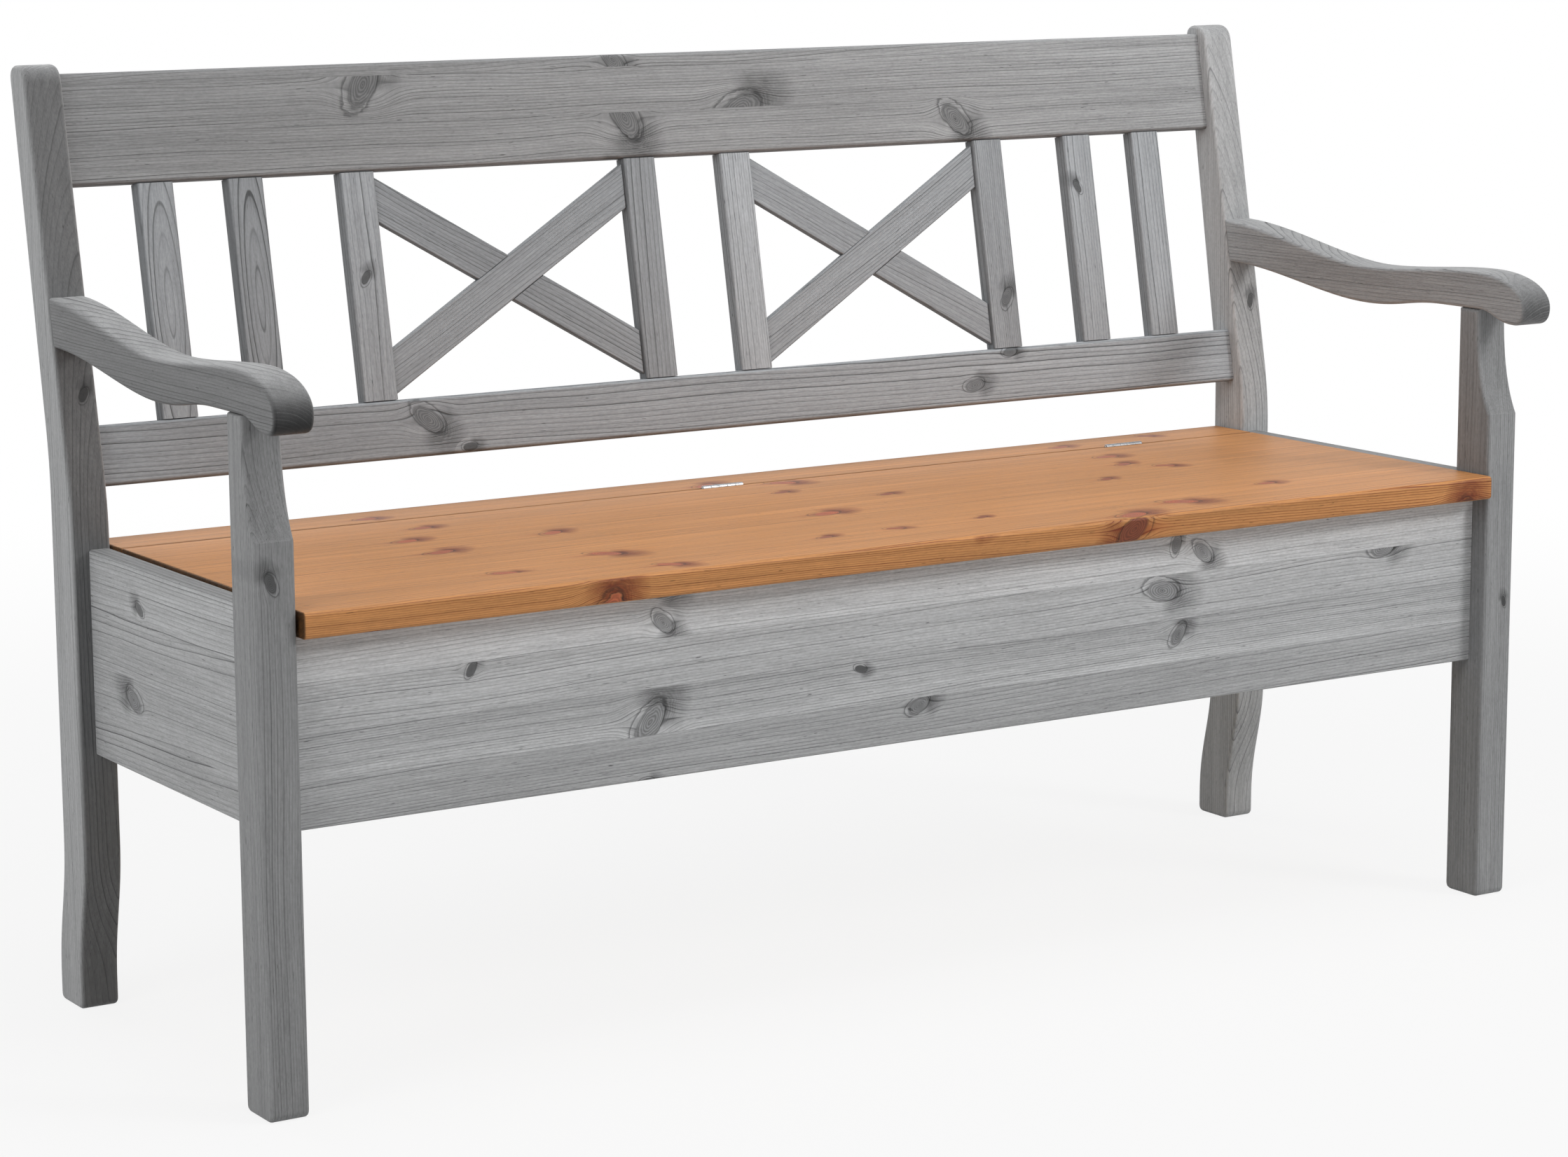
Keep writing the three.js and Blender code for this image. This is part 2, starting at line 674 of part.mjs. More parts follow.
const hingeXs = Object.values(hingePlaces);
const lidCuts = hingeXs.flatMap((x) => leafRecess(-1, x));
const stripCuts = hingeXs.flatMap((x) => leafRecess(1, x));
const lid = cut(seatBoard(-lidOverhang, lidRearEdge, lidEasing, lidJointEasing), lidCuts);
const strip = cut(seatBoard(stripFrontEdge, stripRearEdge, lidJointEasing, lidEasing), stripCuts);
addPiece(bench, 'lid_panel', lid, honeyStainedPine);
addPiece(bench, 'rear_seat_strip', strip, honeyStainedPine);

const battenFront = frontPanelBack + battenFrontClearance;
const battenBack = lidBackSetback - battenRearClearance;
const battenX = lidHalfLength - battenEndInset;
for (const [side, x] of [['left', -battenX], ['right', battenX]]) {
  const low = [x - battenWidth / 2, battenFront, panelTop - battenThickness];
  const high = [x + battenWidth / 2, battenBack, panelTop];
  addPiece(bench, `lid_batten_${side}`, boxBetween(low, high), barePine);
}

// The origin is on the floor under the middle of the whole bench
const extent = new THREE.Box3().setFromObject(bench);
bench.position.y = -(extent.min.y + extent.max.y) / 2;

const settleBench = new THREE.Group();
settleBench.add(bench);

export default settleBench;
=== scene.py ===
import math
import random

import bmesh
import bpy
import numpy as np
from mathutils import Matrix, Vector


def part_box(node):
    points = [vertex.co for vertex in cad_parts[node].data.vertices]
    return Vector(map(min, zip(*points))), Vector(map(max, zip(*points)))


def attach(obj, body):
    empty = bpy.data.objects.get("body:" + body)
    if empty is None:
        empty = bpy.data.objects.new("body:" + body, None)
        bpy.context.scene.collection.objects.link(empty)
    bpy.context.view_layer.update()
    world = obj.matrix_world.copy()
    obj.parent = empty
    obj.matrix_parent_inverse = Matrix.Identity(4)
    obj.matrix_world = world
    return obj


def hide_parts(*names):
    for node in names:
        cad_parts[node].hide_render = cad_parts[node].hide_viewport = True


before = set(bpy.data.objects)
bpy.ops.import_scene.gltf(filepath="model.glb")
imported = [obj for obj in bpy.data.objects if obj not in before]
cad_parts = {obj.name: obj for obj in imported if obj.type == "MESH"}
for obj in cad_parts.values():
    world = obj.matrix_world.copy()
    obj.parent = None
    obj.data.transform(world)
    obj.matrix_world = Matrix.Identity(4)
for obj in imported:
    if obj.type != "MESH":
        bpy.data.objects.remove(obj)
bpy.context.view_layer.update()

# Settle bench in stained pine. Shapes are worked out in millimetres on the bench's own axes:
# X along the seat, Y back from the front posts' faces, Z up. They become metres when a piece is made.
mm = 0.001
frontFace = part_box("front_post_left")[0].y / mm
axisX, axisY, axisZ = Vector((1, 0, 0)), Vector((0, 1, 0)), Vector((0, 0, 1))

# Camera: the photograph's place, turn and lens
camera = {
    "place": (-2.22091, -3.43797, 1.13528),
    "yaw": 32.40795,      # degrees to the right of straight ahead
    "pitch": -10.26972,
    "roll": -0.29596,
    "lens": 91.53,        # mm on a 36 mm sensor
}

yaw, pitch, roll = (math.radians(camera[key]) for key in ("yaw", "pitch", "roll"))
ahead = Vector((math.sin(yaw) * math.cos(pitch), math.cos(yaw) * math.cos(pitch), math.sin(pitch)))
levelRight = Vector((math.cos(yaw), -math.sin(yaw), 0))
levelUp = levelRight.cross(ahead)
right = levelRight * math.cos(roll) + levelUp * math.sin(roll)
up = levelUp * math.cos(roll) - levelRight * math.sin(roll)
cameraObject = bpy.data.objects.new("camera", bpy.data.cameras.new("camera"))
bpy.context.scene.collection.objects.link(cameraObject)
cameraTurn = Matrix((right, up, -ahead)).transposed().to_4x4()
cameraObject.matrix_world = Matrix.Translation(camera["place"]) @ cameraTurn
cameraObject.data.lens = camera["lens"]
cameraObject.data.sensor_width = 36
cameraObject.data.clip_end = 60
bpy.context.scene.camera = cameraObject
print("camera placed")


# A colour written in sRGB hex, as the linear values that Blender's sockets take
def linear(hexColour):
    channels = [int(hexColour[i:i + 2], 16) / 255 for i in (1, 3, 5)]
    return tuple(c / 12.92 if c <= 0.04045 else ((c + 0.055) / 1.055) ** 2.4 for c in channels) + (1.0,)


# Adds a node: inputs are values, sockets or nodes to link from, settings are the node's own properties
def addNode(tree, kind, inputs=None, **settings):
    node = tree.nodes.new(kind)
    for name, value in settings.items():
        setattr(node, name, value)
    for name, value in (inputs or {}).items():
        if isinstance(value, bpy.types.Node):
            value = value.outputs[0]
        if isinstance(value, bpy.types.NodeSocket):
            tree.links.new(value, node.inputs[name])
        else:
            node.inputs[name].default_value = value
    return node


def newGroup(name, kind, inputs, outputs):
    group = bpy.data.node_groups.new(name, kind)
    for label, socket in inputs:
        group.interface.new_socket(label, in_out="INPUT", socket_type=socket)
    for label, socket in outputs:
        group.interface.new_socket(label, in_out="OUTPUT", socket_type=socket)
    return group


def newMaterial(name):
    material = bpy.data.materials.new(name)
    material.use_nodes = True
    material.node_tree.nodes.clear()
    return material, material.node_tree


# A ramp's stops: a number is a grey value, a text is a colour in hex
def setStops(ramp, stops):
    elements = ramp.color_ramp.elements
    while len(elements) < len(stops):
        elements.new(0.5)
    for element, (position, value) in zip(elements, stops):
        element.position = position
        element.color = linear(value) if isinstance(value, str) else (value, value, value, 1)


# Pine: growth rings in every board, flowing round its knots, of which one board has six at most
knotNames = [f"knot{i}" for i in range(1, 7)]

pine = {
    "ringWander": 6.0,         # mm that rings stray over a board's length
    "ringWobble": 0.55,        # mm of unevenness from one centimetre to the next
    "ringBold": (0.42, 1.6),   # strength of the faintest and the boldest ring
    "ringPower": 1.8,          # above 1, bold rings are fewer than faint ones
    "patchSwing": 1.6,         # how much rings fade and grow bold from one decimetre to the next
    "patchLevel": 0.9,
    "glueLine": (0.25, 0.6),   # mm from a board's edge: dark up to the first, gone at the second
    "flecks": (0.3, 0.36),     # noise at which a pitch fleck starts and at which it is full
}

# Knots, in their own radii. They are branches cut aslant, so they show longer than wide.
knotShape = {
    "length": 1.9,
    "reach": 3.0,              # how far along the grain a knot bends the rings
    "spread": 1.25,            # how far across the grain, and how much more if it stands across it
    "standing": 0.9,
    "fall": 1.6,               # how suddenly the bending ends
    "rings": 36.0,             # radians of its own ring pattern in one radius
    "ragged": 0.4,
    "rim": (0.9, 1.02),        # where the knot ends and the board begins
    "sheathShift": (-0.1, 0.2, 0),   # its bark line stands off to one side
    "sheathRagged": 0.45,
    "wingSide": (0.1, 0.9),    # beyond one end, on its wing, the wood stands steep and dark
    "wingReach": (1.1, 3.0),
    "wingSmudge": 1.6,
    "besideReach": (1.0, 2.2),
    "tailStretch": (0.3, 1.9, 0),
}
# How strongly each part of a knot shows
knotShares = {
    "ringsInside": 0.17,
    "ringsBeside": 0.14,
    "wingDark": -0.34,
    "wingLines": 1.3,
    "smallDark": 0.55,         # tone of a small knot, which is mostly dead
    "smallRadii": (3.5, 6.5),  # mm: as dark as that up to the first, not at all from the second
}
fallingToZero = {"To Min": 1.0, "To Max": 0.0}

# One knot's share: how far it pushes the rings aside, and whether it is the nearest one so far
knotFlow = newGroup(
    "knotFlow",
    "ShaderNodeTree",
    [
        ("Place", "NodeSocketVector"),
        ("Knot", "NodeSocketVector"),
        ("Turn", "NodeSocketFloat"),
        ("Nearest", "NodeSocketFloat"),
        ("Spot", "NodeSocketVector"),
        ("Size", "NodeSocketFloat"),
    ],
    [
        ("Shift", "NodeSocketFloat"),
        ("Nearest", "NodeSocketFloat"),
        ("Spot", "NodeSocketVector"),
        ("Size", "NodeSocketFloat"),
    ],
)
given = addNode(knotFlow, "NodeGroupInput").outputs
knotParts = addNode(knotFlow, "ShaderNodeSeparateXYZ", {0: given["Knot"]})
away = addNode(knotFlow, "ShaderNodeVectorMath", {0: given["Place"], 1: given["Knot"]}, operation="SUBTRACT")
awayParts = addNode(knotFlow, "ShaderNodeSeparateXYZ", {0: away})
perRadius = addNode(knotFlow, "ShaderNodeMath", {0: 1.0, 1: knotParts.outputs["Z"]}, operation="DIVIDE")
inRadii = addNode(knotFlow, "ShaderNodeVectorMath", {0: away, "Scale": perRadius}, operation="SCALE")
sine = addNode(knotFlow, "ShaderNodeMath", {0: given["Turn"]}, operation="SINE")
standing = addNode(knotFlow, "ShaderNodeMath", {0: sine}, operation="ABSOLUTE")
spread = addNode(
    knotFlow,
    "ShaderNodeMath",
    {0: standing, 1: knotShape["standing"], 2: knotShape["spread"]},
    operation="MULTIPLY_ADD",
)
bounds = addNode(knotFlow, "ShaderNodeCombineXYZ", {"X": knotShape["reach"], "Y": spread, "Z": 1000.0})
squeezed = addNode(knotFlow, "ShaderNodeVectorMath", {0: inRadii, 1: bounds}, operation="DIVIDE")
reach = addNode(knotFlow, "ShaderNodeVectorMath", {0: squeezed, 1: squeezed}, operation="DOT_PRODUCT")
steep = addNode(
    knotFlow, "ShaderNodeMath", {0: reach.outputs["Value"], 1: knotShape["fall"]}, operation="POWER"
)
fading = addNode(knotFlow, "ShaderNodeMath", {0: steep, 1: -1.0}, operation="MULTIPLY")
pull = addNode(knotFlow, "ShaderNodeMath", {0: fading}, operation="EXPONENT")
shift = addNode(knotFlow, "ShaderNodeMath", {0: awayParts.outputs["Y"], 1: pull}, operation="MULTIPLY")
flat = addNode(knotFlow, "ShaderNodeVectorMath", {0: inRadii, 1: (1, 1, 0)}, operation="MULTIPLY")
turned = addNode(
    knotFlow, "ShaderNodeVectorRotate", {"Vector": flat, "Angle": given["Turn"]}, rotation_type="Z_AXIS"
)
shortened = (1 / knotShape["length"], 1, 0)
rounded = addNode(knotFlow, "ShaderNodeVectorMath", {0: turned, 1: shortened}, operation="MULTIPLY")
rho = addNode(knotFlow, "ShaderNodeVectorMath", {0: rounded}, operation="LENGTH").outputs["Value"]
closer = addNode(knotFlow, "ShaderNodeMath", {0: rho, 1: given["Nearest"]}, operation="LESS_THAN")
radiiParts = addNode(knotFlow, "ShaderNodeSeparateXYZ", {0: inRadii})
here = addNode(
    knotFlow,
    "ShaderNodeCombineXYZ",
    {"X": radiiParts.outputs["X"], "Y": radiiParts.outputs["Y"], "Z": given["Turn"]},
)
offered = addNode(knotFlow, "ShaderNodeVectorMath", {0: here, 1: given["Spot"]}, operation="SUBTRACT")
change = addNode(knotFlow, "ShaderNodeVectorMath", {0: offered, "Scale": closer}, operation="SCALE")
spot = addNode(knotFlow, "ShaderNodeVectorMath", {0: given["Spot"], 1: change}, operation="ADD")
nearer = addNode(knotFlow, "ShaderNodeMath", {0: rho, 1: given["Nearest"]}, operation="MINIMUM")
grown = addNode(
    knotFlow, "ShaderNodeMath", {0: knotParts.outputs["Z"], 1: given["Size"]}, operation="SUBTRACT"
)
size = addNode(knotFlow, "ShaderNodeMath", {0: grown, 1: closer, 2: given["Size"]}, operation="MULTIPLY_ADD")
addNode(knotFlow, "NodeGroupOutput", {"Shift": shift, "Nearest": nearer, "Spot": spot, "Size": size})

figure = newGroup(
    "pineFigure",
    "ShaderNodeTree",
    [],
    [(label, "NodeSocketFloat") for label in (
        "Late", "Fibre", "Fleck", "Streak", "Broad", "Mottle",
        "Knot", "KnotTone", "Tail", "Tone", "Wear", "End",
    )],
)
place = addNode(figure, "ShaderNodeAttribute", attribute_name="grainPlace").outputs["Vector"]
pith = addNode(figure, "ShaderNodeAttribute", attribute_name="pithPlace").outputs["Vector"]
look = addNode(figure, "ShaderNodeAttribute", attribute_name="boardLook").outputs["Vector"]
edges = addNode(figure, "ShaderNodeAttribute", attribute_name="boardEdges").outputs["Vector"]
turns = []
for name in ("knotTurns", "knotTurnsMore"):
    attribute = addNode(figure, "ShaderNodeAttribute", attribute_name=name)
    turns += list(addNode(figure, "ShaderNodeSeparateXYZ", {0: attribute.outputs["Vector"]}).outputs)
shiftSum, nearest, spot, size = 0.0, 1000.0, (1000.0, 1000.0, 0.0), 10.0    # before the first knot: none near
for name, turn in zip(knotNames, turns):
    knot = addNode(figure, "ShaderNodeAttribute", attribute_name=name)
    flow = addNode(figure, "ShaderNodeGroup", node_tree=knotFlow)
    for label, value in (
        ("Place", place),
        ("Knot", knot.outputs["Vector"]),
        ("Turn", turn),
        ("Nearest", nearest),
        ("Spot", spot),
        ("Size", size),
    ):
        if isinstance(value, bpy.types.NodeSocket):
            figure.links.new(value, flow.inputs[label])
        else:
            flow.inputs[label].default_value = value
    shiftSum = addNode(figure, "ShaderNodeMath", {0: shiftSum, 1: flow.outputs["Shift"]}, operation="ADD")
    nearest, spot, size = (flow.outputs[label] for label in ("Nearest", "Spot", "Size"))
placeParts = addNode(figure, "ShaderNodeSeparateXYZ", {0: place})
pithParts = addNode(figure, "ShaderNodeSeparateXYZ", {0: pith})
lookParts = addNode(figure, "ShaderNodeSeparateXYZ", {0: look})
flowed = addNode(figure, "ShaderNodeMath", {0: placeParts.outputs["Y"], 1: shiftSum}, operation="SUBTRACT")
bent = addNode(
    figure, "ShaderNodeCombineXYZ", {"X": placeParts.outputs["X"], "Y": flowed, "Z": placeParts.outputs["Z"]}
)
boardShift = addNode(figure, "ShaderNodeVectorMath", {0: pith, 1: (3.1, 7.7, 911.0)}, operation="MULTIPLY")
ownPlace = addNode(figure, "ShaderNodeVectorMath", {0: bent, 1: boardShift}, operation="ADD")

# Noises stretched along the grain: cycles per mm along, across and through the board, and detail
noises = {}
for name, scale, detail in [
    ("wander", (0.003, 0.012, 0.012), 1.0),
    ("wobble", (0.012, 0.1, 0.1), 2.0),
    ("broad", (0.0028, 0.022, 0.022), 2.0),
    ("streak", (0.0045, 0.16, 0.16), 3.0),
    ("mottle", (0.22, 0.5, 0.5), 2.0),
    ("fibre", (0.05, 1.5, 1.5), 2.0),
    ("fleck", (0.09, 0.9, 0.9), 0.0),
    ("ragged", (0.1, 0.16, 0.1), 2.0),
]:
    stretched = addNode(figure, "ShaderNodeVectorMath", {0: ownPlace, 1: scale}, operation="MULTIPLY")
    noise = addNode(figure, "ShaderNodeTexNoise", {"Vector": stretched, "Scale": 1.0, "Detail": detail})
    noises[name] = addNode(figure, "ShaderNodeMath", {0: noise, 1: 0.5}, operation="SUBTRACT")

# Distance from the tree's pith, in rings
acrossPith = addNode(figure, "ShaderNodeMath", {0: flowed, 1: pithParts.outputs["X"]}, operation="SUBTRACT")
tilted = addNode(
    figure, "ShaderNodeMath", {0: placeParts.outputs["X"], 1: pithParts.outputs["Z"]}, operation="MULTIPLY"
)
belowPith = addNode(
    figure, "ShaderNodeMath", {0: placeParts.outputs["Z"], 1: pithParts.outputs["Y"]}, operation="SUBTRACT"
)
throughPith = addNode(figure, "ShaderNodeMath", {0: belowPith, 1: tilted}, operation="SUBTRACT")
fromPith = addNode(figure, "ShaderNodeCombineXYZ", {"X": acrossPith, "Y": throughPith})
radius = addNode(figure, "ShaderNodeVectorMath", {0: fromPith}, operation="LENGTH")
wandered = addNode(
    figure,
    "ShaderNodeMath",
    {0: noises["wander"], 1: 2 * pine["ringWander"], 2: radius.outputs["Value"]},
    operation="MULTIPLY_ADD",
)
wobbled = addNode(
    figure,
    "ShaderNodeMath",
    {0: noises["wobble"], 1: 2 * pine["ringWobble"], 2: wandered},
    operation="MULTIPLY_ADD",
)
phase = addNode(figure, "ShaderNodeMath", {0: wobbled, 1: lookParts.outputs["Y"]}, operation="DIVIDE")
within = addNode(figure, "ShaderNodeMath", {0: phase}, operation="FRACT")
ringNumber = addNode(figure, "ShaderNodeMath", {0: phase}, operation="FLOOR")
ringChance = addNode(figure, "ShaderNodeTexWhiteNoise", {"W": ringNumber}, noise_dimensions="1D")
ringRare = addNode(
    figure, "ShaderNodeMath", {0: ringChance.outputs["Value"], 1: pine["ringPower"]}, operation="POWER"
)
faintest, boldest = pine["ringBold"]
ringBold = addNode(figure, "ShaderNodeMapRange", {"Value": ringRare, "To Min": faintest, "To Max": boldest})
boldPatch = addNode(
    figure,
    "ShaderNodeMath",
    {0: noises["broad"], 1: pine["patchSwing"], 2: pine["patchLevel"]},
    operation="MULTIPLY_ADD",
)
ringStrength = addNode(figure, "ShaderNodeMath", {0: ringBold, 1: boldPatch}, operation="MULTIPLY")
profile = addNode(figure, "ShaderNodeValToRGB", {"Fac": within})
setStops(profile, [(0, 0), (0.5, 0.05), (0.78, 0.32), (0.88, 1), (0.94, 0.8), (1, 0)])

# Knots: rings inside, a sheath of bark line wrapped round one side, a dark smudge of steep wood beyond
knotEdge = addNode(
    figure,
    "ShaderNodeMath",
    {0: noises["ragged"], 1: knotShape["ragged"], 2: nearest},
    operation="MULTIPLY_ADD",
)
rimIn, rimOut = knotShape["rim"]
knotMask = addNode(
    figure, "ShaderNodeMapRange", {"Value": knotEdge, "From Min": rimIn, "From Max": rimOut, **fallingToZero}
)
clear = addNode(figure, "ShaderNodeMath", {0: 1.0, 1: knotMask}, operation="SUBTRACT")
spotParts = addNode(figure, "ShaderNodeSeparateXYZ", {0: spot})
flatSpot = addNode(figure, "ShaderNodeVectorMath", {0: spot, 1: (1, 1, 0)}, operation="MULTIPLY")
spotTurned = addNode(
    figure,
    "ShaderNodeVectorRotate",
    {"Vector": flatSpot, "Angle": spotParts.outputs["Z"]},
    rotation_type="Z_AXIS",
)
ownPart = addNode(figure, "ShaderNodeVectorMath", {0: spotTurned, 1: shortened}, operation="MULTIPLY")
offSheath = addNode(
    figure, "ShaderNodeVectorMath", {0: ownPart, 1: knotShape["sheathShift"]}, operation="SUBTRACT"
)
sheathReach = addNode(figure, "ShaderNodeVectorMath", {0: offSheath}, operation="LENGTH")
sheathEdge = addNode(
    figure,
    "ShaderNodeMath",
    {0: noises["ragged"], 1: knotShape["sheathRagged"], 2: sheathReach.outputs["Value"]},
    operation="MULTIPLY_ADD",
)
sheathScaled = addNode(figure, "ShaderNodeMath", {0: sheathEdge, 1: 0.5}, operation="MULTIPLY")
sheath = addNode(figure, "ShaderNodeValToRGB", {"Fac": sheathScaled})
setStops(sheath, [(0.5, 0.94), (0.575, 1.03), (0.605, 0.58), (0.64, 0.64), (0.685, 0.93), (0.76, 1.0)])
ownSide = addNode(figure, "ShaderNodeSeparateXYZ", {0: ownPart})
wingStart, wingFull = knotShape["wingSide"]
wingSide = addNode(
    figure, "ShaderNodeMapRange", {"Value": ownSide.outputs["X"], "From Min": wingStart, "From Max": wingFull}
)
wingFrom, wingTo = knotShape["wingReach"]
wingNear = addNode(
    figure,
    "ShaderNodeMapRange",
    {"Value": knotEdge, "From Min": wingFrom, "From Max": wingTo, **fallingToZero},
)
wingShape = addNode(figure, "ShaderNodeMath", {0: wingSide, 1: wingNear}, operation="MULTIPLY")
wing = addNode(figure, "ShaderNodeMath", {0: wingShape, 1: clear}, operation="MULTIPLY")
wingSmudge = addNode(
    figure,
    "ShaderNodeMath",
    {0: noises["ragged"], 1: knotShape["wingSmudge"], 2: 1.0},
    operation="MULTIPLY_ADD",
)
wingDark = addNode(figure, "ShaderNodeMath", {0: wing, 1: wingSmudge}, operation="MULTIPLY")
besideFrom, besideTo = knotShape["besideReach"]
beside = addNode(
    figure,
    "ShaderNodeMapRange",
    {"Value": knotEdge, "From Min": besideFrom, "From Max": besideTo, **fallingToZero},
)
tailShape = addNode(
    figure, "ShaderNodeVectorMath", {0: flatSpot, 1: knotShape["tailStretch"]}, operation="MULTIPLY"
)
tailReach = addNode(figure, "ShaderNodeVectorMath", {0: tailShape, 1: tailShape}, operation="DOT_PRODUCT")
tailFading = addNode(figure, "ShaderNodeMath", {0: tailReach.outputs["Value"], 1: -1.0}, operation="MULTIPLY")
tailSmudge = addNode(figure, "ShaderNodeMath", {0: tailFading}, operation="EXPONENT")
tailDark = addNode(figure, "ShaderNodeMath", {0: tailSmudge, 1: wingDark}, operation="MAXIMUM")
tail = addNode(figure, "ShaderNodeMath", {0: tailDark, 1: clear}, operation="MULTIPLY")

lateRing = addNode(figure, "ShaderNodeMath", {0: profile, 1: ringStrength}, operation="MULTIPLY")
lateBoard = addNode(figure, "ShaderNodeMath", {0: lateRing, 1: lookParts.outputs["Z"]}, operation="MULTIPLY")
wingBold = addNode(
    figure, "ShaderNodeMath", {0: wing, 1: knotShares["wingLines"], 2: 1.0}, operation="MULTIPLY_ADD"
)
lateWing = addNode(figure, "ShaderNodeMath", {0: lateBoard, 1: wingBold}, operation="MULTIPLY")
late = addNode(figure, "ShaderNodeMath", {0: lateWing, 1: clear}, operation="MULTIPLY")
knotScaled = addNode(figure, "ShaderNodeMath", {0: knotEdge, 1: 0.4}, operation="MULTIPLY")
knotDark = addNode(figure, "ShaderNodeValToRGB", {"Fac": knotScaled})
setStops(knotDark, [(0, 0.62), (0.04, 0.86), (0.33, 0.93), (0.375, 0.68), (0.41, 0.84), (0.45, 1.0)])
smallest, fullSize = knotShares["smallRadii"]
smallDark = addNode(
    figure,
    "ShaderNodeMapRange",
    {"Value": size, "From Min": smallest, "From Max": fullSize, "To Min": knotShares["smallDark"]},
)
smallShare = addNode(figure, "ShaderNodeMath", {0: smallDark, 1: 1.0}, operation="SUBTRACT")
smallTone = addNode(figure, "ShaderNodeMath", {0: smallShare, 1: knotMask, 2: 1.0}, operation="MULTIPLY_ADD")
knotTurn = addNode(figure, "ShaderNodeMath", {0: knotEdge, 1: knotShape["rings"]}, operation="MULTIPLY")
knotWave = addNode(figure, "ShaderNodeMath", {0: knotTurn}, operation="SINE")
inside = addNode(figure, "ShaderNodeMath", {0: knotMask, 1: knotShares["ringsInside"]}, operation="MULTIPLY")
outside = addNode(figure, "ShaderNodeMath", {0: beside, 1: wing}, operation="MULTIPLY")
ringShare = addNode(
    figure, "ShaderNodeMath", {0: outside, 1: knotShares["ringsBeside"], 2: inside}, operation="MULTIPLY_ADD"
)
ringedTone = addNode(
    figure, "ShaderNodeMath", {0: knotWave, 1: ringShare, 2: knotDark}, operation="MULTIPLY_ADD"
)
wingedTone = addNode(
    figure,
    "ShaderNodeMath",
    {0: wingDark, 1: knotShares["wingDark"], 2: ringedTone},
    operation="MULTIPLY_ADD",
)
sizedTone = addNode(figure, "ShaderNodeMath", {0: wingedTone, 1: smallTone}, operation="MULTIPLY")
knotTone = addNode(figure, "ShaderNodeMath", {0: sizedTone, 1: sheath}, operation="MULTIPLY")

# Glue line: a hair-thin shade where two boards meet
edgeParts = addNode(figure, "ShaderNodeSeparateXYZ", {0: edges})
fromLow = addNode(
    figure, "ShaderNodeMath", {0: placeParts.outputs["Y"], 1: edgeParts.outputs["X"]}, operation="SUBTRACT"
)
fromHigh = addNode(
    figure, "ShaderNodeMath", {0: edgeParts.outputs["Y"], 1: placeParts.outputs["Y"]}, operation="SUBTRACT"
)
fromEdge = addNode(figure, "ShaderNodeMath", {0: fromLow, 1: fromHigh}, operation="MINIMUM")
glueFull, glueEnd = pine["glueLine"]
glue = addNode(
    figure,
    "ShaderNodeMapRange",
    {"Value": fromEdge, "From Min": glueFull, "From Max": glueEnd, **fallingToZero},
)
glueDark = addNode(figure, "ShaderNodeMath", {0: glue, 1: edgeParts.outputs["Z"]}, operation="MULTIPLY")
glueTone = addNode(figure, "ShaderNodeMath", {0: 1.0, 1: glueDark}, operation="SUBTRACT")

# A board's tone may slope from its low edge to its high one
boardWidth = addNode(
    figure, "ShaderNodeMath", {0: edgeParts.outputs["Y"], 1: edgeParts.outputs["X"]}, operation="SUBTRACT"
)
upBoard = addNode(figure, "ShaderNodeMath", {0: fromLow, 1: boardWidth}, operation="DIVIDE")
fromMiddle = addNode(figure, "ShaderNodeMath", {0: upBoard, 1: 0.5}, operation="SUBTRACT")
toneSlope = addNode(figure, "ShaderNodeAttribute", attribute_name="boardSlope").outputs["Fac"]
slopeTone = addNode(figure, "ShaderNodeMath", {0: fromMiddle, 1: toneSlope, 2: 1.0}, operation="MULTIPLY_ADD")

fleckStart, fleckFull = pine["flecks"]
fleck = addNode(
    figure, "ShaderNodeMapRange", {"Value": noises["fleck"], "From Min": fleckStart, "From Max": fleckFull}
)
# Each side's tone, partly its stain and partly painted shade
sideStainShade = addNode(figure, "ShaderNodeAttribute", attribute_name="sideStainShade").outputs["Fac"]
tone = lookParts.outputs["X"]
for factor in (sideStainShade, glueTone, slopeTone):
    tone = addNode(figure, "ShaderNodeMath", {0: tone, 1: factor}, operation="MULTIPLY")
wear = addNode(figure, "ShaderNodeAttribute", attribute_name="edgeWear")
end = addNode(figure, "ShaderNodeAttribute", attribute_name="endGrain")
addNode(figure, "NodeGroupOutput", {
    "Late": late,
    "Fibre": noises["fibre"],
    "Fleck": fleck,
    "Streak": noises["streak"],
    "Broad": noises["broad"],
    "Mottle": noises["mottle"],
    "Knot": knotMask,
    "KnotTone": knotTone,
    "Tail": tail,
    "Tone": tone,
    "Wear": wear.outputs["Fac"],
    "End": end.outputs["Fac"],
})


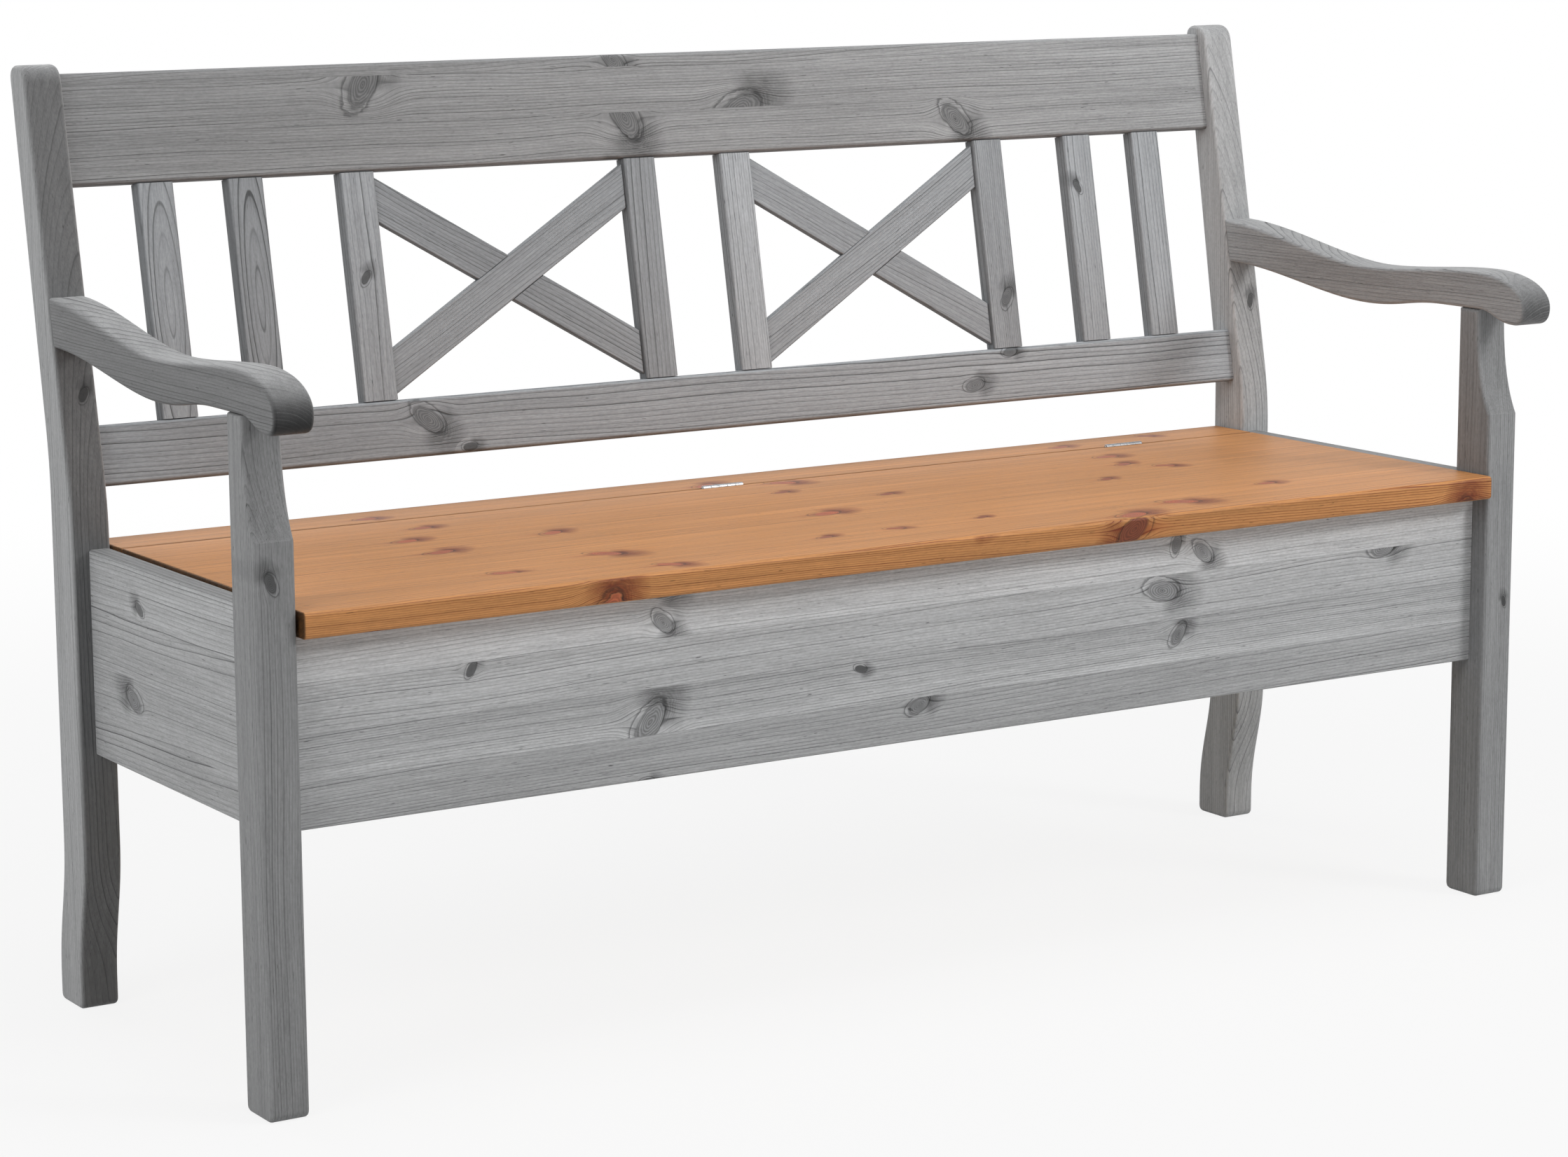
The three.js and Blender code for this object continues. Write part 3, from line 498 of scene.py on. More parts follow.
# One finish on that pine. Shares say how strongly each part of the figure shows.
def pineMaterial(name, finish):
    material, tree = newMaterial(name)
    wood = addNode(tree, "ShaderNodeGroup", node_tree=figure).outputs
    # Cut ends drink the stain between the rings, so there the late wood is the paler part
    endShare = addNode(tree, "ShaderNodeMath", {0: wood["End"], 1: 2.0}, operation="POWER")
    sideShare = addNode(tree, "ShaderNodeMath", {0: 1.0, 1: endShare}, operation="SUBTRACT")
    lateSide = addNode(tree, "ShaderNodeMath", {0: wood["Late"], 1: sideShare}, operation="MULTIPLY")
    lateEnd = addNode(tree, "ShaderNodeMath", {0: wood["Late"], 1: endShare}, operation="MULTIPLY")
    lateShare = addNode(tree, "ShaderNodeMath", {0: lateSide, 1: finish["lines"]}, operation="MULTIPLY")
    tailShare = addNode(tree, "ShaderNodeMath", {0: wood["Tail"], 1: finish["tails"]}, operation="MULTIPLY")
    colour = linear(finish["early"])
    for share, hexColour in ((lateShare, "late"), (tailShare, "tail"), (wood["Knot"], "knot")):
        mixed = addNode(tree, "ShaderNodeMix", {0: share, 7: linear(finish[hexColour])}, data_type="RGBA")
        if isinstance(colour, tuple):
            mixed.inputs[6].default_value = colour
        else:
            tree.links.new(colour, mixed.inputs[6])
        colour = mixed.outputs[2]
    tone = addNode(
        tree, "ShaderNodeMath", {0: lateEnd, 1: finish["endLines"], 2: 1.0}, operation="MULTIPLY_ADD"
    )
    for label, share in (
        ("Broad", finish["broad"]),
        ("Streak", finish["streaks"]),
        ("Mottle", finish["mottle"]),
        ("Fibre", finish["fibres"]),
        ("Fleck", -finish["flecks"]),
        ("Wear", finish["wear"]),
        ("End", -finish["endDark"]),
    ):
        tone = addNode(tree, "ShaderNodeMath", {0: wood[label], 1: share, 2: tone}, operation="MULTIPLY_ADD")
    knotTone = addNode(tree, "ShaderNodeMath", {0: wood["KnotTone"], 1: finish["knots"]}, operation="POWER")
    for factor in (knotTone, wood["Tone"]):
        tone = addNode(tree, "ShaderNodeMath", {0: tone, 1: factor}, operation="MULTIPLY")
    toned = addNode(tree, "ShaderNodeVectorMath", {0: colour, "Scale": tone}, operation="SCALE")
    rough = addNode(
        tree, "ShaderNodeMath", {0: wood["Fibre"], 1: 0.25, 2: finish["roughness"]}, operation="MULTIPLY_ADD"
    )
    height = addNode(
        tree,
        "ShaderNodeMath",
        {0: wood["Late"], 1: finish["ridge"], 2: wood["Fibre"]},
        operation="MULTIPLY_ADD",
    )
    bump = addNode(tree, "ShaderNodeBump", {"Strength": finish["bump"], "Distance": 0.0004, "Height": height})
    surface = addNode(tree, "ShaderNodeBsdfPrincipled", {
        "Base Color": toned,
        "Roughness": rough,
        "Normal": bump,
        "IOR": 1.5,
        "Specular IOR Level": finish["gloss"],
    })
    addNode(tree, "ShaderNodeOutputMaterial", {"Surface": surface})
    return material


# Pine brushed with a thin grey wood stain: matt, the rings stay readable and the edges rub lighter
greyFinish = {
    "early": "#B9BABB", "late": "#606162", "tail": "#7E7F80", "knot": "#939495", "lines": 0.95, "tails": 0.35,
    "knots": 1.5, "broad": 0.45, "streaks": 0.5, "mottle": 0.4, "fibres": 0.75, "flecks": 0.55, "wear": 0.1,
    "endDark": 0.3, "endLines": 1.2, "roughness": 0.62, "ridge": -0.8, "bump": 0.55, "gloss": 0.35,
}
greyPine = pineMaterial("grey_stained_pine", greyFinish)
# The same stain on the backrest, a shade cooler: the orange seat glows on it and this keeps it neutral
coolGreyPine = pineMaterial("grey_stained_pine_cool", {
    **greyFinish, "early": "#B5B9BD", "late": "#5E6163", "tail": "#7C7F81", "knot": "#919497",
})
# Pine under a honey-brown stain and satin varnish: warmer late wood, reddish knots, a soft sheen
honeyPine = pineMaterial("honey_stained_pine", {
    "early": "#BC8450", "late": "#6A2D12", "tail": "#8A3A18", "knot": "#B26242", "lines": 0.9, "tails": 0.8,
    "knots": 1.35, "broad": 0.45, "streaks": 0.6, "mottle": 0.25, "fibres": 0.65, "flecks": 0.6, "wear": 0.05,
    "endDark": 0.76, "endLines": 0.2, "roughness": 0.48, "ridge": -0.5, "bump": 0.3, "gloss": 0.27,
})
# Pine left bare inside the chest: pale yellow, dry and slightly furry from the saw
barePine = pineMaterial("bare_pine", {
    "early": "#D9BE92", "late": "#A87B46", "tail": "#B0804C", "knot": "#A9794F", "lines": 0.7, "tails": 0.5,
    "knots": 0.9, "broad": 0.3, "streaks": 0.3, "mottle": 0.15, "fibres": 0.35, "flecks": 0.3, "wear": 0.04,
    "endDark": 0.2, "endLines": 0.1, "roughness": 0.75, "ridge": -0.4, "bump": 0.4, "gloss": 0.25,
})
print("pine materials made")

# Beech dowel: turned, pale pink-brown, with dark rays half a millimetre wide and three long
beech, tree = newMaterial("turned_beech")
spot = addNode(tree, "ShaderNodeTexCoord").outputs["Object"]
rays = addNode(tree, "ShaderNodeMapping", {"Vector": spot, "Scale": (2200, 2200, 300)})
rayNoise = addNode(tree, "ShaderNodeTexNoise", {"Vector": rays, "Scale": 1.0, "Detail": 2.0})
rayRamp = addNode(tree, "ShaderNodeValToRGB", {"Fac": rayNoise})
setStops(rayRamp, [(0.4, "#A87C55"), (0.62, "#D2A983")])
rayBump = addNode(tree, "ShaderNodeBump", {"Strength": 0.2, "Distance": 0.0002, "Height": rayNoise})
surface = addNode(
    tree, "ShaderNodeBsdfPrincipled", {"Base Color": rayRamp, "Roughness": 0.6, "Normal": rayBump}
)
addNode(tree, "ShaderNodeOutputMaterial", {"Surface": surface})

# Zinc-plated steel: bright blue-white plating with faint patches of a millimetre or two, and lines drawn in
# along X, which are about a sixth of a millimetre wide and too fine to show but as a softer gloss
zinc, tree = newMaterial("zinc_plated_steel")
spot = addNode(tree, "ShaderNodeTexCoord").outputs["Object"]
patches = addNode(tree, "ShaderNodeTexNoise", {"Vector": spot, "Scale": 700.0, "Detail": 3.0})
patchRamp = addNode(tree, "ShaderNodeValToRGB", {"Fac": patches})
setStops(patchRamp, [(0.35, "#929496"), (0.7, "#C6C8CA")])
lines = addNode(tree, "ShaderNodeMapping", {"Vector": spot, "Scale": (300, 6000, 6000)})
lineNoise = addNode(tree, "ShaderNodeTexNoise", {"Vector": lines, "Scale": 1.0, "Detail": 1.0})
zincRough = addNode(tree, "ShaderNodeMapRange", {"Value": patches, "To Min": 0.22, "To Max": 0.42})
zincBump = addNode(tree, "ShaderNodeBump", {"Strength": 0.12, "Distance": 0.0001, "Height": lineNoise})
surface = addNode(
    tree,
    "ShaderNodeBsdfPrincipled",
    {"Base Color": patchRamp, "Metallic": 1.0, "Roughness": zincRough, "Normal": zincBump},
)
addNode(tree, "ShaderNodeOutputMaterial", {"Surface": surface})
print("metal and dowel materials made")


# Shapes are drawn in a frame of their own: an outline in its first two axes, its length in the third
def basis(first, second, third, origin=(0, 0, 0)):
    turn = Matrix((Vector(first), Vector(second), Vector(third))).transposed().to_4x4()
    return Matrix.Translation(Vector(origin)) @ turn


def grainAlong(run, across, origin=(0, 0, 0)):
    return basis(run, across, Vector(run).cross(Vector(across)), origin)


def quadratic(start, control, end, steps=10):
    start, control, end = (np.array(p, float) for p in (start, control, end))
    return [
        tuple((1 - t) ** 2 * start + 2 * t * (1 - t) * control + t * t * end)
        for t in np.linspace(0, 1, steps + 1)
    ]


def cubic(start, first, second, end, steps=16):
    start, first, second, end = (np.array(p, float) for p in (start, first, second, end))
    curve = []
    for t in np.linspace(0, 1, steps + 1):
        s = 1 - t
        curve.append(tuple(s ** 3 * start + 3 * t * s ** 2 * first + 3 * t * t * s * second + t ** 3 * end))
    return curve


def softRectangle(width, height, lowRadius, highRadius, steps=4):
    outline = []
    for x, y, radius, start in [
        (width / 2, -height / 2, highRadius, -90),
        (width / 2, height / 2, highRadius, 0),
        (-width / 2, height / 2, lowRadius, 90),
        (-width / 2, -height / 2, lowRadius, 180),
    ]:
        centreX = x - math.copysign(radius, x)
        centreY = y - math.copysign(radius, y)
        for step in range(steps + 1):
            angle = math.radians(start + 90 * step / steps)
            outline.append((centreX + radius * math.cos(angle), centreY + radius * math.sin(angle)))
    return outline


# Walls between two rings of vertices
def bridge(bm, lower, upper):
    for i in range(len(lower)):
        j = (i + 1) % len(lower)
        bm.faces.new((lower[i], lower[j], upper[j], upper[i]))


# A closed outline drawn out along the third axis of place, with rounded rims
def prism(outline, low, high, place, lowEasing=0.0, highEasing=0.0, steps=4, into=None):
    points = np.array(outline, float)
    keep = np.linalg.norm(points - np.roll(points, 1, axis=0), axis=1) > 1e-4
    points = points[keep]
    before = points - np.roll(points, 1, axis=0)
    after = np.roll(points, -1, axis=0) - points
    normals = []
    for edge in (before, after):
        edge = edge / np.linalg.norm(edge, axis=1)[:, None]
        normals.append(np.stack([edge[:, 1], -edge[:, 0]], axis=1))
    mitre = (normals[0] + normals[1]) / (1 + (normals[0] * normals[1]).sum(1))[:, None]
    rings = []
    for end, easing, sign in ((low, lowEasing, 1), (high, highEasing, -1)):
        angles = [k / steps * math.pi / 2 for k in range(steps + 1)] if easing > 0 else [0.0]
        rim = [(end + sign * easing * (1 - math.cos(a)), easing * (1 - math.sin(a))) for a in angles]
        rings += rim if sign > 0 else rim[::-1]
    bm = into or bmesh.new()
    made = []
    for level, inset in rings:
        ring = points - inset * mitre
        made.append([bm.verts.new(place @ Vector((x, y, level))) for x, y in ring])
    for lower, upper in zip(made, made[1:]):
        bridge(bm, lower, upper)
    bm.faces.new(made[0][::-1])
    bm.faces.new(made[-1])
    return bm


# Replaces an object's mesh by what its modifiers make of it, and removes them
def settle(shown):
    bpy.context.view_layer.update()
    graph = bpy.context.evaluated_depsgraph_get()
    made = bpy.data.meshes.new_from_object(
        shown.evaluated_get(graph), preserve_all_data_layers=True, depsgraph=graph
    )
    old = shown.data
    shown.modifiers.clear()
    shown.data = made
    bpy.data.meshes.remove(old)
    made.name = shown.name


# An object that holds a shape, with the place in its mesh
def holdShape(name, bm):
    mesh = bpy.data.meshes.new(name)
    bm.to_mesh(mesh)
    bm.free()
    holder = bpy.data.objects.new(name, mesh)
    bpy.context.scene.collection.objects.link(holder)
    return holder


# Takes what a holder's modifiers make out as a shape again, and removes it and the holders it used
def takeShape(holder, *others):
    settle(holder)
    shape = bmesh.new()
    shape.from_mesh(holder.data)
    for used in (holder, *others):
        mesh = used.data
        bpy.data.objects.remove(used)
        bpy.data.meshes.remove(mesh)
    return shape


# A shape in millimetres becomes an object in metres, with sharp edges kept and flat faces shaded flat
def makeObject(name, bm, material, smoothBelow=35):
    toMetres = Matrix.Scale(mm, 4) @ Matrix.Translation((0, frontFace, 0))
    bmesh.ops.transform(bm, matrix=toMetres, verts=bm.verts)
    shown = holdShape(name, bm)
    mesh = shown.data
    mesh.materials.append(material)
    mesh.polygons.foreach_set("use_smooth", [True] * len(mesh.polygons))
    mesh.set_sharp_from_angle(angle=math.radians(smoothBelow))
    weighted = shown.modifiers.new("flatFaces", "WEIGHTED_NORMAL")
    weighted.keep_sharp = True
    settle(shown)
    return shown


# Cuts other shapes out of one
def subtract(bm, cutters):
    shapes = [bm] + cutters
    for shape in shapes:
        bmesh.ops.recalc_face_normals(shape, faces=shape.faces)
    target, *others = [holdShape("cut", shape) for shape in shapes]
    for cutter in others:
        modifier = target.modifiers.new("cut", "BOOLEAN")
        modifier.object = cutter
        modifier.solver = "EXACT"
        modifier.operation = "DIFFERENCE"
    return takeShape(target, *others)


# How one board was cut from the tree, in mm: its edges across the grain, the pith's place and slant, its
# rings' spacing and strength, its tone and how much that rises from the low edge to the high one.
# A knot is its place along and across, its radius and its tilt in degrees; a minus before the radius
# makes it dead and dark all through.
def board(low, high, seed, tone=1.0, spacing=None, strength=None, pithPlace=None, knots=(), slope=None):
    chance = random.Random(seed)
    middle = (low + high) / 2
    side = chance.choice((-1, 1))
    pith = pithPlace or (
        middle + side * chance.uniform(30, 85), -chance.uniform(18, 80), chance.uniform(-0.03, 0.03)
    )
    return {
        "low": low,
        "high": high,
        "tone": tone * chance.uniform(0.985, 1.015),
        "spacing": spacing or chance.uniform(2.6, 4.0),
        "strength": strength or chance.uniform(0.7, 1.0),
        "slope": chance.uniform(-0.06, 0.06) if slope is None else slope,
        "pith": pith,
        "knots": [knot[:3] for knot in knots],
        "turns": [-math.radians(knot[3] if len(knot) > 3 else chance.uniform(-35, 35)) for knot in knots],
    }


noKnot = (9000, 0, 10)      # so far off that it bends nothing
noEdges = (-9000, 9000, 0)


# What each board writes into the faces that it owns
def boardLayers(boards, glued):
    layers = {
        "pithPlace": [b["pith"] for b in boards],
        "boardLook": [(b["tone"], b["spacing"], b["strength"]) for b in boards],
        "boardEdges": [(b["low"], b["high"], glued) for b in boards],
    }
    for index, name in enumerate(knotNames):
        layers[name] = [b["knots"][index] if index < len(b["knots"]) else noKnot for b in boards]
    for start, name in ((0, "knotTurns"), (3, "knotTurnsMore")):
        layers[name] = [tuple((b["turns"] + [0] * 6)[start:start + 3]) for b in boards]
    return layers


faceWays = {
    "left": (-1, 0, 0),
    "right": (1, 0, 0),
    "front": (0, -1, 0),
    "under": (0, 0, -1),
    "top": (0, 0, 1),
}
stainAndShadeFalloff = 1.2         # above 1, a side's stain and painted shade keep more to the faces that look straight that way
wearAngles = (0.25, 0.75)  # radians: a corner in a rounded edge bends this much, and its stain rubs thin
edgeFacing = 0.6           # cosine: a face that looks this much the edge's way shows the edge's figure


# Finishes a wooden piece: cuts seams between its glued boards and writes each board's grain into the mesh.
# Each side is darkened for the stain it took up and, on undersides and faces turned inward, as painted shade;
# a drift paints a fall of light from one end to the other.
# edgeBoard is the figure on one long edge, seen across the board.
def woodPiece(
    name, bm, grain, boards, material, body="frame", nodes=None, seams=(), glued=0.14, sideStainAndShade=None,
    edgeBoard=None, edgeWay=None, paintedLightDrift=(1, 1), smoothBelow=35,
):
    bmesh.ops.recalc_face_normals(bm, faces=bm.faces)
    along, across, origin = (grain.col[i].to_3d() for i in (0, 1, 3))
    for seam in seams:
        geometry = bm.verts[:] + bm.edges[:] + bm.faces[:]
        bmesh.ops.bisect_plane(bm, geom=geometry, plane_co=origin + across * seam, plane_no=across)
    toGrain = grain.inverted()
    wearLayer = bm.verts.layers.float.new("edgeWear")
    for vert in bm.verts:
        angles = [edge.calc_face_angle(0.0) for edge in vert.link_edges if len(edge.link_faces) == 2]
        vert[wearLayer] = 1.0 if angles and wearAngles[0] < max(angles) < wearAngles[1] else 0.0
    known = boards + ([edgeBoard] if edgeBoard else [])
    layers = boardLayers(known, glued if seams else 0.0)
    if edgeBoard:
        layers["boardEdges"][-1] = noEdges
    placeLayer = bm.loops.layers.float_vector.new("grainPlace")
    faceLayers = {layerName: bm.faces.layers.float_vector.new(layerName) for layerName in layers}
    slopeLayer = bm.faces.layers.float.new("boardSlope")
    for face in bm.faces:
        v = (toGrain @ face.calc_center_median()).y
        onEdge = edgeBoard and face.normal.dot(Vector(faceWays[edgeWay])) > edgeFacing
        owner = min(range(len(boards)), key=lambda i: max(boards[i]["low"] - v, v - boards[i]["high"], 0))
        owner = len(boards) if onEdge else owner
        for layerName, layer in faceLayers.items():
            face[layer] = layers[layerName][owner]
        face[slopeLayer] = known[owner]["slope"]
        for loop in face.loops:
            spot = toGrain @ loop.vert.co
            loop[placeLayer] = (spot.x, spot.z, spot.y) if onEdge else spot
    piece = makeObject(f"{name}_wood", bm, material, smoothBelow)
    count = len(piece.data.loops)
    normals = np.zeros(count * 3, np.float32)
    piece.data.corner_normals.foreach_get("vector", normals)
    normals = normals.reshape(-1, 3)
    # Each side's tone: its stain, and painted shade where it faces down or inward
    stainAndShadeTones = np.ones(count, np.float32)
    for way, tone in (sideStainAndShade or {}).items():
        facing = np.clip(normals @ np.array(faceWays[way], np.float32), 0, 1)
        stainAndShadeTones += (tone - 1) * facing ** stainAndShadeFalloff
    spots = np.zeros(count * 3, np.float32)
    piece.data.attributes["grainPlace"].data.foreach_get("vector", spots)
    # Painted fall of light along the piece's length
    lengthShare = (spots[::3] - spots[::3].min()) / np.ptp(spots[::3])
    stainAndShadeTones *= paintedLightDrift[0] + (paintedLightDrift[1] - paintedLightDrift[0]) * lengthShare
    endShares = np.abs(normals @ np.array(along, np.float32))
    for layerName, values in (("endGrain", endShares), ("sideStainShade", stainAndShadeTones)):
        layer = piece.data.attributes.new(layerName, "FLOAT", "CORNER")
        layer.data.foreach_set("value", values)
    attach(piece, body)
    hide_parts(*(nodes or [name]))
    return piece


# Where the middle of a CAD node stands along the bench
def middleAlong(node):
    low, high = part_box(node)
    return (low.x + high.x) / 2 / mm


# A CAD node's box on the bench's own axes
def benchBox(node):
    return [Vector((p.x / mm, p.y / mm - frontFace, p.z / mm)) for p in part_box(node)]


past = 2    # mm that a cutter reaches past the wood
sides = (("left", -1), ("right", 1))

# Posts and arms
bench = {
    "halfWidth": 750,
    "height": 938,
    "seatHeight": 472,
    "underside": 264,
    "rake": math.radians(11),
    "gap": 0.3,
}
posts = {
    "width": 40,
    "easing": 4,
    "frontDepth": 52,
    "frontTopDepth": 30,
    "knee": 537,
    "hollowEnd": 576,
    "cornerRadius": 8,
    "rearSetback": 420,
    "rearDepth": 54,
    "rearTopDepth": 36,
    "topRadius": 17,
    "footSweep": 19.5,
    "sweepTop": 180,
    "sweepBottom": 18,
    "bend": 509,
    "rearBend": 550,
    "bendEasing": 38,
    "armHeight": 650,
}
rakeSlope = math.tan(bench["rake"])
acrossBench = basis(axisY, axisZ, axisX)


def postFrontAt(height):
    return posts["rearSetback"] + (height - posts["bend"]) * rakeSlope


def rearPostOutline():
    front = posts["rearSetback"]
    back = front + posts["rearDepth"]
    sweep, corner = posts["footSweep"], posts["cornerRadius"]
    top = bench["height"]
    outline = quadratic((front + sweep, corner), (front + sweep, 0), (front + sweep + corner, 0), 6)
    outline += quadratic((back + sweep - corner, 0), (back + sweep, 0), (back + sweep, corner), 6)
    shares = [i / 24 for i in range(25)]
    swept = [(sweep * (1 - (6 * t ** 5 - 15 * t ** 4 + 10 * t ** 3)), t) for t in shares]
    rise = posts["sweepTop"] - posts["sweepBottom"]
    outline += [(back + shift, posts["sweepBottom"] + t * rise) for shift, t in swept]
    bends = [
        ((back, posts["rearBend"]), posts["bendEasing"]),
        ((postFrontAt(top) + posts["rearTopDepth"], top), posts["topRadius"]),
        ((postFrontAt(top), top), posts["topRadius"]),
        ((front, posts["bend"]), posts["bendEasing"]),
    ]
    stops = [(back, posts["sweepTop"])] + [point for point, _ in bends] + [(front, posts["sweepTop"])]
    for index, (point, easing) in enumerate(bends, 1):
        here = np.array(point)
        ends = []
        for other in (stops[index - 1], stops[index + 1]):
            away = np.array(other) - here
            ends.append(tuple(here + away / np.linalg.norm(away) * easing))
        outline += quadratic(ends[0], point, ends[1], 10)
    outline += [(front + shift, posts["sweepBottom"] + t * rise) for shift, t in swept[::-1]]
    return outline


def frontPostOutline():
    depth, corner = posts["frontDepth"], posts["cornerRadius"]
    setback = depth - posts["frontTopDepth"]
    top = posts["armHeight"] - bench["gap"]
    outline = quadratic((0, corner), (0, 0), (corner, 0), 6)
    outline += quadratic((depth - corner, 0), (depth, 0), (depth, corner), 6)
    outline += [(depth, top)]
    outline += quadratic((setback, top), (setback, posts["hollowEnd"]), (0, posts["knee"]), 28)
    return outline


arms = {
    "thickness": 41,
    "rearThickness": 48,
    "rearRise": 17,
    "waistDrop": 9.5,
    "noseReach": 49,
    "noseDrop": 12.5,
    "noseRadius": 18,
    "waist": 205.8,
    "crest": 33.6,
    "seatEnd": 84,
    "rearHandle": 0.33,     # how far each bend reaches towards the next point of the outline
    "waistHandle": 0.3,
    "crestHandle": 0.32,
    "noseHandle": 0.6,
    "underHandles": (0.5, 0.35),
}


def armOutline():
    level = posts["armHeight"]
    gap = bench["gap"]
    rearBottom = (postFrontAt(level + arms["rearRise"]) - gap, level + arms["rearRise"])
    rearHigh = rearBottom[1] + arms["rearThickness"]
    rearTop = (postFrontAt(rearHigh) - gap, rearHigh)
    crest = (arms["crest"], level + arms["thickness"])
    waist = (arms["waist"], crest[1] - arms["waistDrop"])
    under = (waist[0], level - arms["waistDrop"])
    seatFront = (posts["frontDepth"] - posts["frontTopDepth"], level)
    seatEnd = (arms["seatEnd"], level)
    noseUnder = (arms["noseRadius"] - arms["noseReach"], level - arms["noseDrop"])
    noseTip = (-arms["noseReach"], noseUnder[1] + arms["noseRadius"])
    rearRun, frontRun = rearTop[0] - waist[0], waist[0] - crest[0]
    noseRun, noseRise = crest[0] - noseTip[0], crest[1] - noseTip[1]
    underRun = seatFront[0] - noseUnder[0]
    rearPull, waistPull = arms["rearHandle"] * rearRun, arms["waistHandle"] * rearRun
    backPull, frontPull = arms["waistHandle"] * frontRun, arms["crestHandle"] * frontRun
    leaving, meeting = arms["underHandles"]
    outline = cubic(
        rearTop,
        (rearTop[0] - rearPull, rearTop[1] - 0.1 * arms["rearRise"]),
        (waist[0] + waistPull, waist[1]),
        waist,
    )
    outline += cubic(waist, (waist[0] - frontPull, waist[1]), (crest[0] + backPull, crest[1]), crest)
    outline += cubic(
        crest,
        (crest[0] - arms["noseHandle"] * noseRun, crest[1]),
        (noseTip[0], noseTip[1] + arms["noseHandle"] * noseRise),
        noseTip,
    )
    outline += quadratic(noseTip, (noseTip[0], noseUnder[1]), noseUnder)
    outline += cubic(
        noseUnder,
        (noseUnder[0] + leaving * underRun, noseUnder[1]),
        (seatFront[0] - meeting * underRun, seatFront[1]),
        seatFront,
        10,
    )
    outline += cubic(seatEnd, (seatEnd[0] + backPull, seatEnd[1]), (under[0] - frontPull, under[1]), under)
    outline += cubic(
        under, (under[0] + waistPull, under[1]), (rearBottom[0] - rearPull, rearBottom[1]), rearBottom
    )
    return outline


# How dark each of these pieces took the stain, 1 being as pale as the chest's panels, and how each side is
# darkened: partly its stain, partly painted shade on the arms' undersides and noses and on the right front
# post's inner face
stainsAndShade = {
    "left": {
        "frontPost": (0.63, {"front": 0.74}),
        "rearPost": (0.96, {"front": 0.28}),
        "arm": (0.72, {"left": 0.62, "front": 0.12, "under": 0.5}),
    },
    "right": {
        "frontPost": (0.58, {"left": 0.76}),
        "rearPost": (0.88, {}),
        "arm": (0.7, {"left": 0.9, "front": 0.34}),
    },
}
for side, sign in sides:
    x = sign * (bench["halfWidth"] - posts["width"] / 2)
    low, high = x - posts["width"] / 2, x + posts["width"] / 2
    upright = grainAlong(axisZ, axisX, (x, 0, 0))
    easing = posts["easing"]
    pieceStainAndShade = stainsAndShade[side]
    shape = prism(frontPostOutline(), low, high, acrossBench, easing, easing)
    knots = [(500, -5, 5)] if side == "left" else [(330, 8, 3)]
    woodPiece(
        f"front_post_{side}", shape, upright,
        [board(-20, 20, 11 + sign, tone=pieceStainAndShade["frontPost"][0], strength=0.6, spacing=2.6,
               pithPlace=(46 * sign, -22, 0.012), knots=knots)],
        greyPine, sideStainAndShade=pieceStainAndShade["frontPost"][1], smoothBelow=26,
    )
    shape = prism(rearPostOutline(), low, high, acrossBench, easing, easing)
    woodPiece(
        f"rear_post_{side}", shape, upright,
        [board(-20, 20, 21 + sign, tone=pieceStainAndShade["rearPost"][0], strength=0.6, pithPlace=(-40 * sign, 380, 0.03),
               knots=[(620, 6, 4)])],
        greyPine, sideStainAndShade=pieceStainAndShade["rearPost"][1],
    )
    shape = prism(armOutline(), low, high, acrossBench, easing, easing)
    grain = grainAlong(axisY, axisZ, (x, 0, posts["armHeight"] + arms["thickness"] / 2))
    woodPiece(
        f"arm_{side}", shape, grain,
        [board(-40, 60, 31 + sign, tone=pieceStainAndShade["arm"][0], spacing=3.0, pithPlace=(-70, 25 * sign, 0.02))],
        greyPine, sideStainAndShade=pieceStainAndShade["arm"][1],
    )
print("posts and arms made")

# Backrest: rails, slats and crossed braces in the raked plane
backrest = {
    "recess": 13,
    "railThickness": 19,
    "railHalf": 709.7,
    "lowerRail": (22.5, 83.0),
    "topRailHeight": 111.5,
    "topDrop": 6.5,
    "easing": 4,
    "slatWidth": 39,
    "slatThickness": 17,
    "slatEasing": 2.5,
    "braceWidth": 40,
    "braceThickness": 9,
    "braceEasing": 1.5,
    "braceEndGap": 5.5,
}
slope = Vector((0, math.sin(bench["rake"]), math.cos(bench["rake"])))
slopeBack = Vector((0, math.cos(bench["rake"]), -math.sin(bench["rake"])))
slopeFoot = Vector((0, posts["rearSetback"], posts["bend"]))
railMiddle = backrest["recess"] + backrest["railThickness"] / 2
slopeTop = (bench["height"] - posts["bend"]) / math.cos(bench["rake"])
topRailHigh = slopeTop - backrest["topDrop"]
topRailLow = topRailHigh - backrest["topRailHeight"]
backPlane = slopeFoot + slopeBack * railMiddle
railGrain = grainAlong(axisX, slope, backPlane)


def railShape(low, high):
    section = softRectangle(high - low, backrest["railThickness"], backrest["easing"], backrest["easing"])
    drawn = basis(slope, axisX.cross(slope), axisX, backPlane + slope * (low + high) / 2)
    return prism(section, -backrest["railHalf"], backrest["railHalf"], drawn)


# Its underside is darkened as painted shade, and a painted fall of light brightens it towards the right
woodPiece(
    "lower_back_rail", railShape(*backrest["lowerRail"]), railGrain,
    [board(22, 84, 41, tone=0.64, pithPlace=(120, -40, 0.01),
           knots=[(-345, 60, 10, -40), (342, 44, 6.5, 10), (395, 78, 5, 10), (-300, 28, 4, 5)])],
    coolGreyPine, paintedLightDrift=(0.95, 1.3), sideStainAndShade={"under": 0.5},
)
topSeams = (368, 417)
